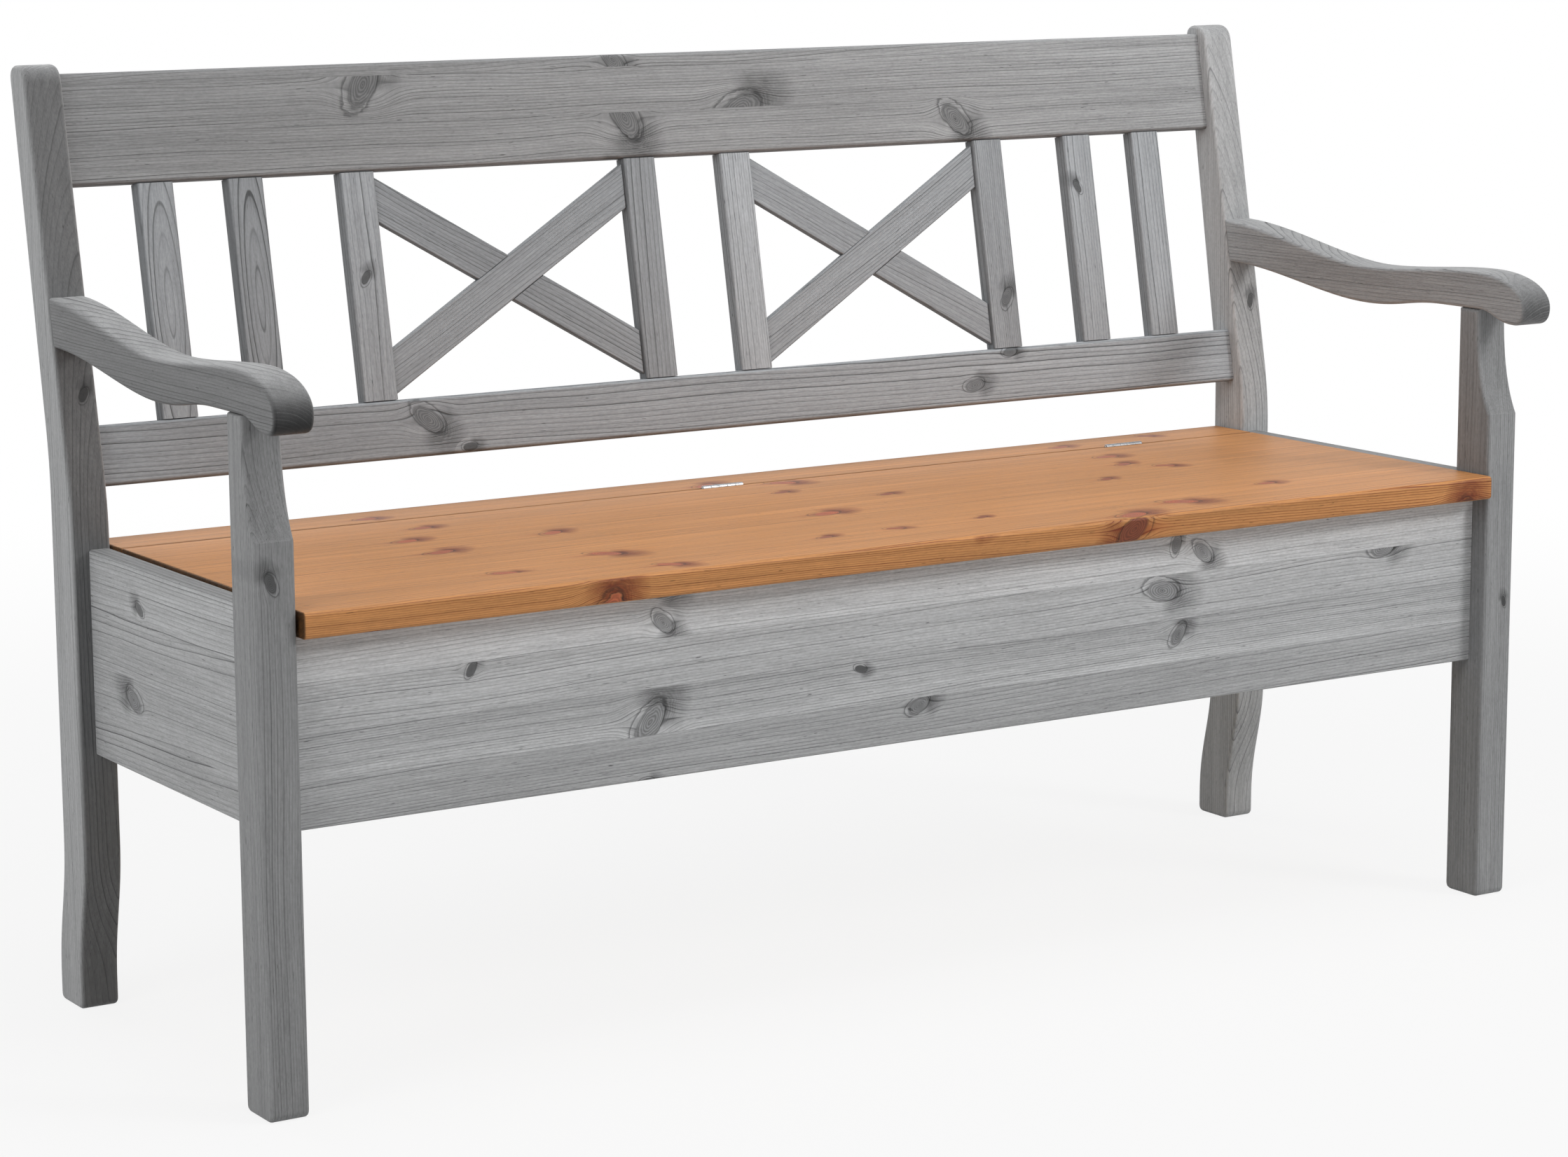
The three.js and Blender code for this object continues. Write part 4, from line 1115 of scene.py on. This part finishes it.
# Its underside is darkened as painted shade, and a painted fall of light brightens it towards the right
woodPiece(
    "top_rail", railShape(topRailLow, topRailHigh), railGrain,
    [
        board(300, 368, 42, tone=0.56, spacing=2.6, pithPlace=(250, -45, 0.012), slope=-0.12,
              knots=[(-73, 362, 13, -62), (354, 344, 11.5, -45), (-105, 308, 6, 20)]),
        board(368, 417, 43, tone=0.57, spacing=2.8, pithPlace=(470, -40, -0.01), slope=0.1,
              knots=[(-378, 408, 14, 58), (72, 366, 14, 20)]),
        board(417, 440, 44, tone=0.54, spacing=2.6, knots=[(-80, 424, 9, -50)]),
    ],
    greyPine, seams=topSeams, paintedLightDrift=(0.88, 1.32), sideStainAndShade={"under": 0.55},
)

# Slats: one softened section swept up the slope at each of eight places
slatNodes = [f"back_slat_{i}" for i in range(1, 9)]
slatPlaces = [middleAlong(node) for node in slatNodes]

slatTree = newGroup(
    "slatsUpTheBack",
    "GeometryNodeTree",
    [
        ("Geometry", "NodeSocketGeometry"),
        ("Width", "NodeSocketFloat"),
        ("Thickness", "NodeSocketFloat"),
        ("Length", "NodeSocketFloat"),
        ("Easing", "NodeSocketFloat"),
        ("Turn", "NodeSocketVector"),
        ("Material", "NodeSocketMaterial"),
    ],
    [("Geometry", "NodeSocketGeometry")],
)
given = addNode(slatTree, "NodeGroupInput").outputs
section = addNode(
    slatTree,
    "GeometryNodeCurvePrimitiveQuadrilateral",
    {"Width": given["Width"], "Height": given["Thickness"]},
)
softSection = addNode(
    slatTree,
    "GeometryNodeFilletCurve",
    {"Curve": section, "Count": 4, "Radius": given["Easing"]},
    mode="POLY",
)
lineTop = addNode(slatTree, "ShaderNodeCombineXYZ", {"Z": given["Length"]})
spine = addNode(slatTree, "GeometryNodeCurvePrimitiveLine", {"End": lineTop})
swept = addNode(
    slatTree, "GeometryNodeCurveToMesh", {"Curve": spine, "Profile Curve": softSection, "Fill Caps": True}
)
placed = addNode(
    slatTree,
    "GeometryNodeInstanceOnPoints",
    {"Points": given["Geometry"], "Instance": swept, "Rotation": given["Turn"]},
)
real = addNode(slatTree, "GeometryNodeRealizeInstances", {"Geometry": placed})
finished = addNode(slatTree, "GeometryNodeSetMaterial", {"Geometry": real, "Material": given["Material"]})
addNode(slatTree, "NodeGroupOutput", {"Geometry": finished})


# Runs a Geometry Nodes tree on the points or shape given and returns what it makes
def grow(tree, bm, values):
    holder = holdShape("growing", bm)
    modifier = holder.modifiers.new("grow", "NODES")
    modifier.node_group = tree
    for socket in tree.interface.items_tree:
        if socket.in_out == "INPUT" and socket.name in values:
            modifier[socket.identifier] = values[socket.name]
    return takeShape(holder)


points = bmesh.new()
slatLow = backrest["lowerRail"][1] + bench["gap"]
slatLength = topRailLow - bench["gap"] - slatLow
for x in slatPlaces:
    points.verts.new(backPlane + axisX * x + slope * slatLow)
shape = grow(slatTree, points, {
    "Width": backrest["slatWidth"],
    "Thickness": backrest["slatThickness"],
    "Length": slatLength,
    "Easing": backrest["slatEasing"],
    "Turn": (-bench["rake"], 0, 0),
    "Material": coolGreyPine,
})
slatTones = (0.68, 0.52, 0.74, 0.62, 0.94, 0.68, 0.78, 0.82)
slatKnots = {2: [(210, -3, 4)], 5: [(140, 4, 6)], 6: [(260, -6, 4)]}
slatBoards = []
for index, x in enumerate(slatPlaces):
    flame = {"pithPlace": (x + 2, -34, 0.13), "spacing": 4.6} if index < 2 else {}
    slatBoards.append(board(
        x - 20, x + 20, 50 + index, tone=slatTones[index], **flame,
        knots=[(u, x + v, r) for u, v, r in slatKnots.get(index, [])],
    ))
slatGrain = grainAlong(slope, axisX, backPlane)
# The slats' side faces are darkened as painted shade between the slats
woodPiece(
    "back_slats", shape, slatGrain, slatBoards, coolGreyPine, nodes=slatNodes,
    sideStainAndShade={"left": 0.62, "right": 0.8},
)

# Braces: two bands halved into each other in each wide bay
braceBays = []
for side, first, second in (("left", 3, 4), ("right", 5, 6)):
    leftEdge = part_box(f"back_slat_{first}")[1].x / mm
    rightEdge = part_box(f"back_slat_{second}")[0].x / mm
    braceBays.append((side, (leftEdge + rightEdge) / 2, rightEdge - leftEdge))
slatMiddle = slatLow + slatLength / 2


# How steeply a band of this width rises so that its corners just reach a bay's corners
def braceSlopeFor(run, rise, width):
    diagonal = math.sqrt(run ** 2 + rise ** 2 - width ** 2)
    return (rise * run - width * diagonal) / (run ** 2 - width ** 2)


# A band across a bay from corner to corner, as an outline on the slope
def braceBand(run, steepness, extraWidth, extraRun, falling):
    upright = (backrest["braceWidth"] + extraWidth) * math.sqrt(1 + steepness ** 2) / 2
    reach = run / 2 + extraRun
    climb = reach * steepness
    band = [
        (-reach, -climb - upright),
        (reach, climb - upright),
        (reach, climb + upright),
        (-reach, upright - climb),
    ]
    return [(-x, y) for x, y in band][::-1] if falling else band


for side, middle, bay in braceBays:
    run = bay - 2 * bench["gap"]
    rise = slatLength + 2 * bench["gap"] - 2 * backrest["braceEndGap"]
    steepness = braceSlopeFor(run, rise, backrest["braceWidth"])
    half = backrest["braceThickness"] / 2
    crossing = backPlane + axisX * middle + slope * slatMiddle
    drawn = basis(axisX, slope, -slopeBack, crossing)
    for falling in (False, True):
        easing = backrest["braceEasing"]
        shape = prism(braceBand(run, steepness, 0, 0, falling), -half, half, drawn, easing, easing, 3)
        notch = braceBand(run, steepness, 2 * bench["gap"], past, not falling)
        low, high = (-bench["gap"] / 2, half + past) if falling else (-half - past, bench["gap"] / 2)
        shape = subtract(shape, [prism(notch, low, high, drawn)])
        turn = -1 if falling else 1
        braceRun = (axisX + slope * steepness * turn).normalized()
        grain = grainAlong(braceRun, slopeBack.cross(braceRun) * -1, crossing)
        name = f"brace_{'falling' if falling else 'rising'}_{side}"
        # The braces' undersides and left faces are darkened as painted shade
        woodPiece(
            name, shape, grain,
            [board(-20, 20, 70 + falling + 2 * (middle > 0), tone=0.55 + 0.1 * (middle > 0), spacing=2.6)],
            coolGreyPine, sideStainAndShade={"under": 0.62, "left": 0.7},
        )
print("backrest made")

# Chest: panels, bottom and cleats
chest = {
    "panelThickness": 22,
    "frontSetback": 22.5,
    "sideRecess": 1,
    "easing": 2.5,
    "panelTop": 446.7,
    "sideTop": 470,
    "rearBack": 466,
    "rearThickness": 20,
    "cleatEasing": 1.0,
}


# Where a section drawn as (up, back) runs along the bench
def sectionAlongX(middle):
    return basis(axisZ, axisX.cross(axisZ), axisX, (0, middle.y, middle.z))


def lengthwise(low, high, easing, endEasing=0.0):
    middle = (Vector(low) + Vector(high)) / 2
    size = Vector(high) - Vector(low)
    section = softRectangle(size.z, size.y, easing, easing)
    return prism(section, low[0], high[0], sectionAlongX(middle), endEasing, endEasing)


inner = bench["halfWidth"] - posts["width"]
frontY = chest["frontSetback"]
shape = lengthwise(
    (-inner + bench["gap"], frontY, bench["underside"]),
    (inner - bench["gap"], frontY + chest["panelThickness"], chest["panelTop"]),
    chest["easing"],
)
frontGrain = grainAlong(axisX, axisZ, (0, frontY, 0))
woodPiece(
    "front_panel", shape, frontGrain,
    [
        board(260, 308, 81, tone=0.86, spacing=2.4, pithPlace=(345, 60, 0.02), slope=0.06,
              knots=[(-20, 300, 7, 25), (-335, 262, 4, 0)]),
        board(308, 353, 82, tone=1.0, spacing=2.1, pithPlace=(240, 55, -0.02), slope=-0.24,
              knots=[(-331, 321, 11.5, 50), (307, 337, 6.8, 50), (-90, 345, 3.6)]),
        board(353, 401, 83, tone=1.11, spacing=2.3, pithPlace=(450, 70, 0.025), slope=0.07,
              knots=[(-523, 394, 4.2, 60), (285, 385, 10.5, -10), (583, 401, 9, 8)]),
        # The top board's tone is partly its own paler stain, partly painted light that lifts it out of the
        # lid's shadow
        board(401, 450, 84, tone=1.35, spacing=2.7, pithPlace=(355, 45, -0.015), slope=-0.1,
              knots=[(-322, 450, 9, -5), (-316, 416, 7, -42), (303, 432, 5.6, 75), (338, 420, 7.5, -40)]),
    ],
    greyPine, seams=(308, 353, 401), edgeWay="top",
    edgeBoard=board(0, 22, 148, tone=1.02, spacing=2.4, pithPlace=(-90, 440, 0.01)),
)
rearFront = chest["rearBack"] - chest["rearThickness"]
shape = lengthwise(
    (-inner + bench["gap"], rearFront, bench["underside"]),
    (inner - bench["gap"], chest["rearBack"], chest["panelTop"]),
    chest["easing"],
)
woodPiece(
    "rear_panel", shape, grainAlong(axisX, axisZ, (0, chest["rearBack"], 0)),
    [
        board(260, 325, 85, tone=0.95, knots=[(-420, 300, 9), (210, 290, 6)]),
        board(325, 388, 86, tone=1.0, knots=[(60, 350, 10), (520, 370, 7)]),
        board(388, 450, 87, tone=0.98, knots=[(-180, 420, 8)]),
    ],
    greyPine, seams=(325, 388),
)
for side, sign in sides:
    near = sign * (inner + chest["sideRecess"])
    far = near + sign * chest["panelThickness"]
    low, high = min(near, far), max(near, far)
    front, back = posts["frontDepth"] + bench["gap"], posts["rearSetback"] - bench["gap"]
    height = chest["sideTop"] - bench["underside"]
    drawn = basis(axisZ, axisX, axisY, ((low + high) / 2, 0, bench["underside"] + height / 2))
    section = softRectangle(height, chest["panelThickness"], chest["easing"], chest["easing"])
    shape = prism(section, front, back, drawn)
    grain = grainAlong(axisY, axisZ, (far, 0, 0))
    knots = {"left": ([(322, 337, 9)], [(301, 429, 5)]), "right": ([(150, 320, 6)], [(240, 440, 7)])}[side]
    # The top edge, under the lid, is darkened as painted shade
    woodPiece(
        f"side_panel_{side}", shape, grain,
        [
            board(260, 305, 91 + 4 * sign, tone=0.94, pithPlace=(340, 60 * sign, 0.02)),
            board(305, 358, 92 + 4 * sign, tone=0.97, pithPlace=(270, 40 * sign, -0.03), knots=knots[0]),
            board(358, 415, 93 + 4 * sign, tone=1.01, pithPlace=(440, 60 * sign, 0.02)),
            board(415, 472, 94 + 4 * sign, tone=1.08, pithPlace=(380, 50 * sign, -0.02), knots=knots[1]),
        ],
        greyPine, seams=(305, 358, 415), sideStainAndShade={"top": 0.5},
    )

# Boards and cleats inside follow their CAD solids' boxes, with the saw's edge just broken
for index, name in enumerate(("bottom_cleat_front", "bottom_cleat_rear", "bottom_board")):
    low, high = benchBox(name)
    shape = lengthwise(low, high, chest["cleatEasing"], chest["cleatEasing"])
    if name == "bottom_board":
        seams = tuple(low.y + (high.y - low.y) * i / 4 for i in range(1, 4))
        edges = (low.y,) + seams + (high.y,)
        knots = (
            [(-480, 80, 9), (300, 100, 7)],
            [(-60, 200, 10)],
            [(410, 300, 8), (-250, 270, 5)],
            [(120, 400, 9)],
        )
        boards = [
            board(edges[i], edges[i + 1], 100 + i, tone=0.97 + 0.02 * (i % 3), knots=knots[i])
            for i in range(4)
        ]
        grain = grainAlong(axisX, axisY, (0, 0, high.z))
    else:
        seams = ()
        boards = [board(low.z, high.z, 110 + index)]
        grain = grainAlong(axisX, axisZ, (0, low.y, 0))
    woodPiece(name, shape, grain, boards, barePine, seams=seams)
for index, (name, body) in enumerate((
    ("bottom_cleat_left", "frame"),
    ("bottom_cleat_right", "frame"),
    ("lid_batten_left", "lid"),
    ("lid_batten_right", "lid"),
)):
    low, high = benchBox(name)
    size, middle = high - low, (low + high) / 2
    drawn = basis(axisZ, axisX, axisY, (middle.x, 0, middle.z))
    easing = chest["cleatEasing"]
    shape = prism(softRectangle(size.z, size.x, easing, easing), low.y, high.y, drawn, easing, easing)
    grain = grainAlong(axisY, axisX, (0, 0, low.z))
    knots = [(160, middle.x + 5, 6)] if "batten" in name else ()
    woodPiece(name, shape, grain, [board(low.x, high.x, 120 + index, knots=knots)], barePine, body=body)
print("chest made")

# Hinges: five-knuckle butts let into the edges of lid and strip
hinge = {
    "length": 50,
    "barrel": 2.8,
    "pin": 1.2,
    "pinEnd": 0.8,
    "pinEasing": 0.6,
    "leaf": 1.2,
    "leafHeight": 18,
    "leafSpace": 0.2,
    "leafEasing": 0.3,
    "knuckles": 5,
    "knuckleGap": 0.15,
    "knuckleEasing": 0.35,
    "strapSink": 2,         # how far a knuckle's strap runs down into its leaf
    "strapEasing": 0.2,
    "screwSpacing": 30,
    "sides": 32,
}
hingeScrew = {
    "length": 16,
    "headRadius": 2.8,
    "headDepth": 1.4,
    "headFace": 0.05,       # below the leaf's inner face
    "headEasing": 0.15,
    "shankRadius": 1.5,
    "tipStart": 3,          # before the screw's end
    "tipEnd": 0.4,
    "tipRadius": 0.25,
    "crossHalf": 0.32,
    "crossReach": 1.5,
    "crossFloor": 0.9,
    "crossTaper": 0.8,
    "sides": 24,
}
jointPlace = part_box("hinge_middle_pin")
hingeAxis = Vector((0, (jointPlace[0].y + jointPlace[1].y) / 2 / mm - frontFace, bench["seatHeight"]))
hingeNames = ("left", "middle", "right")
hingePlaces = [middleAlong(f"hinge_{name}_pin") for name in hingeNames]
leafTop = hingeAxis.z - hinge["barrel"] - bench["gap"]
leafBottom = leafTop - hinge["leafHeight"]
screwHeight = (leafTop + leafBottom) / 2
knuckleLength = hinge["length"] / hinge["knuckles"]


def circle(radius, count):
    angles = [2 * math.pi * i / count for i in range(count)]
    return [(radius * math.cos(a), radius * math.sin(a)) for a in angles]


alongPin = basis(axisY, axisZ, axisX, hingeAxis)


# One leaf with its knuckles and screws; towards is the side of the joint that it lies on
def leafShape(towards):
    near = hinge["leafSpace"] / 2
    easing, strapEasing, ease = (hinge[key] for key in ("leafEasing", "strapEasing", "knuckleEasing"))
    plate = softRectangle(hinge["leafHeight"], hinge["leaf"], easing, easing, 2)
    middle = Vector((0, hingeAxis.y + towards * (near + hinge["leaf"] / 2), (leafTop + leafBottom) / 2))
    half = hinge["length"] / 2
    bm = prism(plate, -half, half, sectionAlongX(middle), easing, easing, 2)
    sink = hinge["strapSink"]
    for knuckle in range(0 if towards > 0 else 1, hinge["knuckles"], 2):
        low = knuckle * knuckleLength - half + hinge["knuckleGap"] * (knuckle > 0)
        high = (knuckle + 1) * knuckleLength - half - hinge["knuckleGap"] * (knuckle < hinge["knuckles"] - 1)
        prism(circle(hinge["barrel"], hinge["sides"]), low, high, alongPin, ease, ease, 3, bm)
        strap = softRectangle(hingeAxis.z - leafTop + sink, hinge["leaf"], strapEasing, strapEasing, 2)
        strapMiddle = Vector((0, middle.y, (hingeAxis.z + leafTop) / 2 - sink / 2))
        prism(strap, low, high, sectionAlongX(strapMiddle), strapEasing, strapEasing, 2, bm)
    for x in (-hinge["screwSpacing"] / 2, hinge["screwSpacing"] / 2):
        addScrew(bm, x, towards)
    return bm


# A countersunk screw with a cross recess, its head level with the leaf's inner face
def addScrew(bm, x, towards):
    face = hingeAxis.y + towards * hinge["leafSpace"] / 2
    drawn = basis(axisX, -axisZ * towards, axisY * towards, (x, face, screwHeight))
    head, shank, length = (hingeScrew[key] for key in ("headRadius", "shankRadius", "length"))
    levels = [
        (hingeScrew["headFace"], head - hingeScrew["headEasing"]),
        (hingeScrew["headFace"] + hingeScrew["headEasing"], head),
        (hingeScrew["headDepth"], shank),
        (length - hingeScrew["tipStart"], shank),
        (length - hingeScrew["tipEnd"], hingeScrew["tipRadius"]),
    ]
    rings = []
    for depth, radius in levels:
        outline = circle(radius, hingeScrew["sides"])
        rings.append([bm.verts.new(drawn @ Vector((px, py, depth))) for px, py in outline])
    for lower, upper in zip(rings, rings[1:]):
        bridge(bm, lower, upper)
    bm.faces.new(rings[-1])
    # The recess: the head's flat face steps down inside a cross
    arm, reach = hingeScrew["crossHalf"], hingeScrew["crossReach"]
    cross = []
    for quarter in range(4):
        a = quarter * math.pi / 2
        for px, py in ((arm, arm), (arm, reach), (-arm, reach)):
            cross.append((px * math.cos(a) - py * math.sin(a), px * math.sin(a) + py * math.cos(a)))
    cross.sort(key=lambda p: math.atan2(p[1], p[0]))
    taper, floorDepth = hingeScrew["crossTaper"], hingeScrew["crossFloor"]
    rim = [bm.verts.new(drawn @ Vector((px, py, hingeScrew["headFace"]))) for px, py in cross]
    floor = [bm.verts.new(drawn @ Vector((px * taper, py * taper, floorDepth))) for px, py in cross]
    edges = []
    for loop in (rings[0], rim):
        for pair in zip(loop, loop[1:] + loop[:1]):
            edges.append(bm.edges.get(pair) or bm.edges.new(pair))
    bmesh.ops.triangle_fill(bm, use_beauty=True, edges=edges)
    bridge(bm, rim, floor)
    bm.faces.new(floor)


rowTree = newGroup(
    "hingeRow",
    "GeometryNodeTree",
    [
        ("Geometry", "NodeSocketGeometry"),
        ("Count", "NodeSocketInt"),
        ("First", "NodeSocketVector"),
        ("Spacing", "NodeSocketVector"),
        ("Material", "NodeSocketMaterial"),
    ],
    [("Geometry", "NodeSocketGeometry")],
)
given = addNode(rowTree, "NodeGroupInput").outputs
row = addNode(
    rowTree,
    "GeometryNodeMeshLine",
    {"Count": given["Count"], "Start Location": given["First"], "Offset": given["Spacing"]},
)
each = addNode(rowTree, "GeometryNodeInstanceOnPoints", {"Points": row, "Instance": given["Geometry"]})
real = addNode(rowTree, "GeometryNodeRealizeInstances", {"Geometry": each})
finished = addNode(rowTree, "GeometryNodeSetMaterial", {"Geometry": real, "Material": given["Material"]})
addNode(rowTree, "NodeGroupOutput", {"Geometry": finished})

rowValues = {
    "Count": len(hingePlaces),
    "First": (hingePlaces[0], 0, 0),
    "Spacing": (hingePlaces[1] - hingePlaces[0], 0, 0),
    "Material": zinc,
}
for wood, towards, body in (("lid", -1, "lid"), ("strip", 1, "frame")):
    shape = grow(rowTree, leafShape(towards), rowValues)
    bmesh.ops.recalc_face_normals(shape, faces=shape.faces)
    leaves = makeObject(f"{wood}_leaves", shape, zinc)
    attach(leaves, body)
    nodes = [f"hinge_{place}_{wood}_leaf" for place in hingeNames]
    nodes += [f"hinge_{place}_{wood}_screw_{i}" for place in hingeNames for i in (1, 2)]
    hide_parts(*nodes)

half, easing = hinge["length"] / 2 + hinge["pinEnd"], hinge["pinEasing"]
pinShape = prism(circle(hinge["pin"], 24), -half, half, alongPin, easing, easing)
pins = makeObject("hinge_pins", grow(rowTree, pinShape, rowValues), zinc)
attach(pins, "frame")
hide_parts(*[f"hinge_{place}_pin" for place in hingeNames])
print("hinges made")

# Seat: hinged lid and the fixed strip behind it
seat = {
    "thickness": 25,
    "halfLength": 707.5,
    "front": -10,
    "joint": 400,
    "jointGap": 1.6,
    "back": 468,
    "easing": 4,
    "jointEasing": 2,
    "endEasing": 1.5,
}


# Part of the seat, with room cut for its leaves and their barrels
def seatShape(front, back, frontEasing, backEasing, towards):
    drawn = basis(axisY, axisZ, axisX, (0, (front + back) / 2, bench["seatHeight"] - seat["thickness"] / 2))
    section = softRectangle(back - front, seat["thickness"], frontEasing, backEasing)
    half, endEasing, gap = seat["halfLength"], seat["endEasing"], bench["gap"]
    shape = prism(section, -half, half, drawn, endEasing, endEasing, 3)
    edge = hinge["length"] / 2 + gap
    deep = hinge["leafSpace"] / 2 + hinge["leaf"] + gap
    a, b = sorted((hingeAxis.y, hingeAxis.y + towards * deep))
    low, high = leafBottom - gap, bench["seatHeight"] + past
    mortise = [(a, low), (b, low), (b, high), (a, high)]
    groove = circle(hinge["barrel"] + gap, hinge["sides"])
    cutters = []
    for x in hingePlaces:
        cutters.append(prism(mortise, x - edge, x + edge, acrossBench))
        cutters.append(prism(groove, x - edge, x + edge, alongPin))
    return subtract(shape, cutters)


joint = seat["joint"]
lidShape = seatShape(seat["front"], joint - seat["jointGap"] / 2, seat["easing"], seat["jointEasing"], -1)
seatGrain = grainAlong(axisX, axisY, (0, 0, bench["seatHeight"]))
# The lid's ends are darkened partly as painted shade, on top of their end grain's own darkness
woodPiece(
    "lid_panel", lidShape, seatGrain,
    [
        board(-12, 63, 131, tone=1.0, spacing=3.3, pithPlace=(-30, -60, 0.02),
              knots=[(-308, 22, 7), (233, 4, 10), (325, 45, 10)]),
        board(63, 166, 132, tone=1.02, spacing=2.8, pithPlace=(190, -50, -0.02),
              knots=[(-329, 108, 9), (-461, 68, 7), (96, 79, 4), (-101, 67, 5), (478, 91, 6), (-15, 72, 5)]),
        board(166, 268, 133, tone=0.99, spacing=3.1, pithPlace=(120, -70, 0.025),
              knots=[(-458, 204, 8), (-313, 242, 7), (-22, 188, 9), (100, 258, 5), (352, 209, 5),
                     (466, 252, 6)]),
        board(268, 398, 134, tone=1.01, spacing=2.9, pithPlace=(430, -60, -0.02),
              knots=[(-457, 279, 7), (-407, 341, 6), (50, 385, 8), (14, 330, 5), (451, 339, 7),
                     (433, 284, 6)]),
    ],
    honeyPine, body="lid", seams=(63, 166, 268), glued=0.45, edgeWay="front",
    sideStainAndShade={"left": 0.45, "right": 0.6},
    edgeBoard=board(-30, 5, 135, tone=1.03, spacing=2.0, strength=1.3, pithPlace=(-62, 20, 0.03),
                    knots=[(-392, -38, 13, 70), (222, -12.5, -11, 35), (668, -47, 13, 76), (20, 12, 8, 0)]),
)
stripShape = seatShape(joint + seat["jointGap"] / 2, seat["back"], seat["jointEasing"], seat["easing"], 1)
woodPiece(
    "rear_seat_strip", stripShape, seatGrain,
    [board(402, 470, 141, tone=0.99, spacing=3.0, pithPlace=(500, -40, 0.02),
           knots=[(-430, 422, 6), (-30, 413, 8), (451, 427, 6), (586, 444, 5)])],
    honeyPine, seams=(402,), glued=0.45,
)
print("seat made")

# The dowels stay as the CAD has them
for side, _ in sides:
    for end in ("front", "rear"):
        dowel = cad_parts[f"arm_{end}_dowel_{side}"]
        dowel.data.materials.clear()
        dowel.data.materials.append(beech)

# Floor, world and lamps
studio = {
    "floorSize": 30,
    "floorColour": "#CFCFCF",
    "floorGlow": 0.86,          # share of plain white that the camera sees near the bench
    "whiteFrom": (1.0, 3.2),    # metres from the bench over which that share grows to all
    "worldLight": 0.31,
    "lampAim": (0, 0, 0.45),
    "lamps": [
        # name, place, width, height, watts
        ("right_box", (2.5, -3.1, 2.5), 1.0, 1.0, 60),
        ("left_box", (-3.6, -1.4, 2.4), 1.8, 1.8, 41),
        ("top_box", (0.2, -0.6, 3.4), 2.6, 2.2, 52),
        ("rear_box", (-0.8, 3.6, 2.2), 2.4, 2.0, 26),
    ],
}


# Where a ray goes straight or by a mirror or glass from the eye: there the background may be plain white
def seenShare(tree):
    path = addNode(tree, "ShaderNodeLightPath").outputs
    direct = addNode(
        tree, "ShaderNodeMath", {0: path["Is Camera Ray"], 1: path["Is Glossy Ray"]}, operation="MAXIMUM"
    )
    return addNode(
        tree, "ShaderNodeMath", {0: direct, 1: path["Is Transmission Ray"]}, operation="MAXIMUM"
    )


half = studio["floorSize"] / 2
floorMesh = bpy.data.meshes.new("floor")
floorCorners = [(-half, -half, 0), (half, -half, 0), (half, half, 0), (-half, half, 0)]
floorMesh.from_pydata(floorCorners, [], [(0, 1, 2, 3)])
floor = bpy.data.objects.new("floor", floorMesh)
bpy.context.scene.collection.objects.link(floor)
paper, tree = newMaterial("white_paper_sweep")
matt = addNode(tree, "ShaderNodeBsdfDiffuse", {"Color": linear(studio["floorColour"])})
bright = addNode(tree, "ShaderNodeEmission", {"Color": (1, 1, 1, 1), "Strength": 1.0})
spot = addNode(tree, "ShaderNodeTexCoord").outputs["Object"]
distance = addNode(tree, "ShaderNodeVectorMath", {0: spot}, operation="LENGTH").outputs["Value"]
nearest, farthest = studio["whiteFrom"]
fade = addNode(
    tree,
    "ShaderNodeMapRange",
    {"Value": distance, "From Min": nearest, "From Max": farthest, "To Min": studio["floorGlow"]},
    interpolation_type="SMOOTHSTEP",
)
whiteShare = addNode(tree, "ShaderNodeMath", {0: seenShare(tree), 1: fade}, operation="MULTIPLY")
mixed = addNode(tree, "ShaderNodeMixShader", {0: whiteShare, 1: matt, 2: bright})
addNode(tree, "ShaderNodeOutputMaterial", {"Surface": mixed})
floorMesh.materials.append(paper)

world = bpy.data.worlds.new("studio")
bpy.context.scene.world = world
world.use_nodes = True
tree = world.node_tree
tree.nodes.clear()
lightSky = addNode(tree, "ShaderNodeBackground", {"Color": (1, 1, 1, 1), "Strength": studio["worldLight"]})
whiteSky = addNode(tree, "ShaderNodeBackground", {"Color": (1, 1, 1, 1), "Strength": 1.0})
sky = addNode(tree, "ShaderNodeMixShader", {0: seenShare(tree), 1: lightSky, 2: whiteSky})
addNode(tree, "ShaderNodeOutputWorld", {"Surface": sky})

for name, spot, width, tall, watts in studio["lamps"]:
    lamp = bpy.data.lights.new(name, "AREA")
    lamp.shape = "RECTANGLE"
    lamp.size = width
    lamp.size_y = tall
    lamp.energy = watts
    lampObject = bpy.data.objects.new(name, lamp)
    bpy.context.scene.collection.objects.link(lampObject)
    lampObject.location = spot
    aim = Vector(studio["lampAim"]) - Vector(spot)
    lampObject.rotation_euler = aim.to_track_quat("-Z", "Y").to_euler()
bpy.context.scene.view_settings.view_transform = "Standard"
print("studio made")
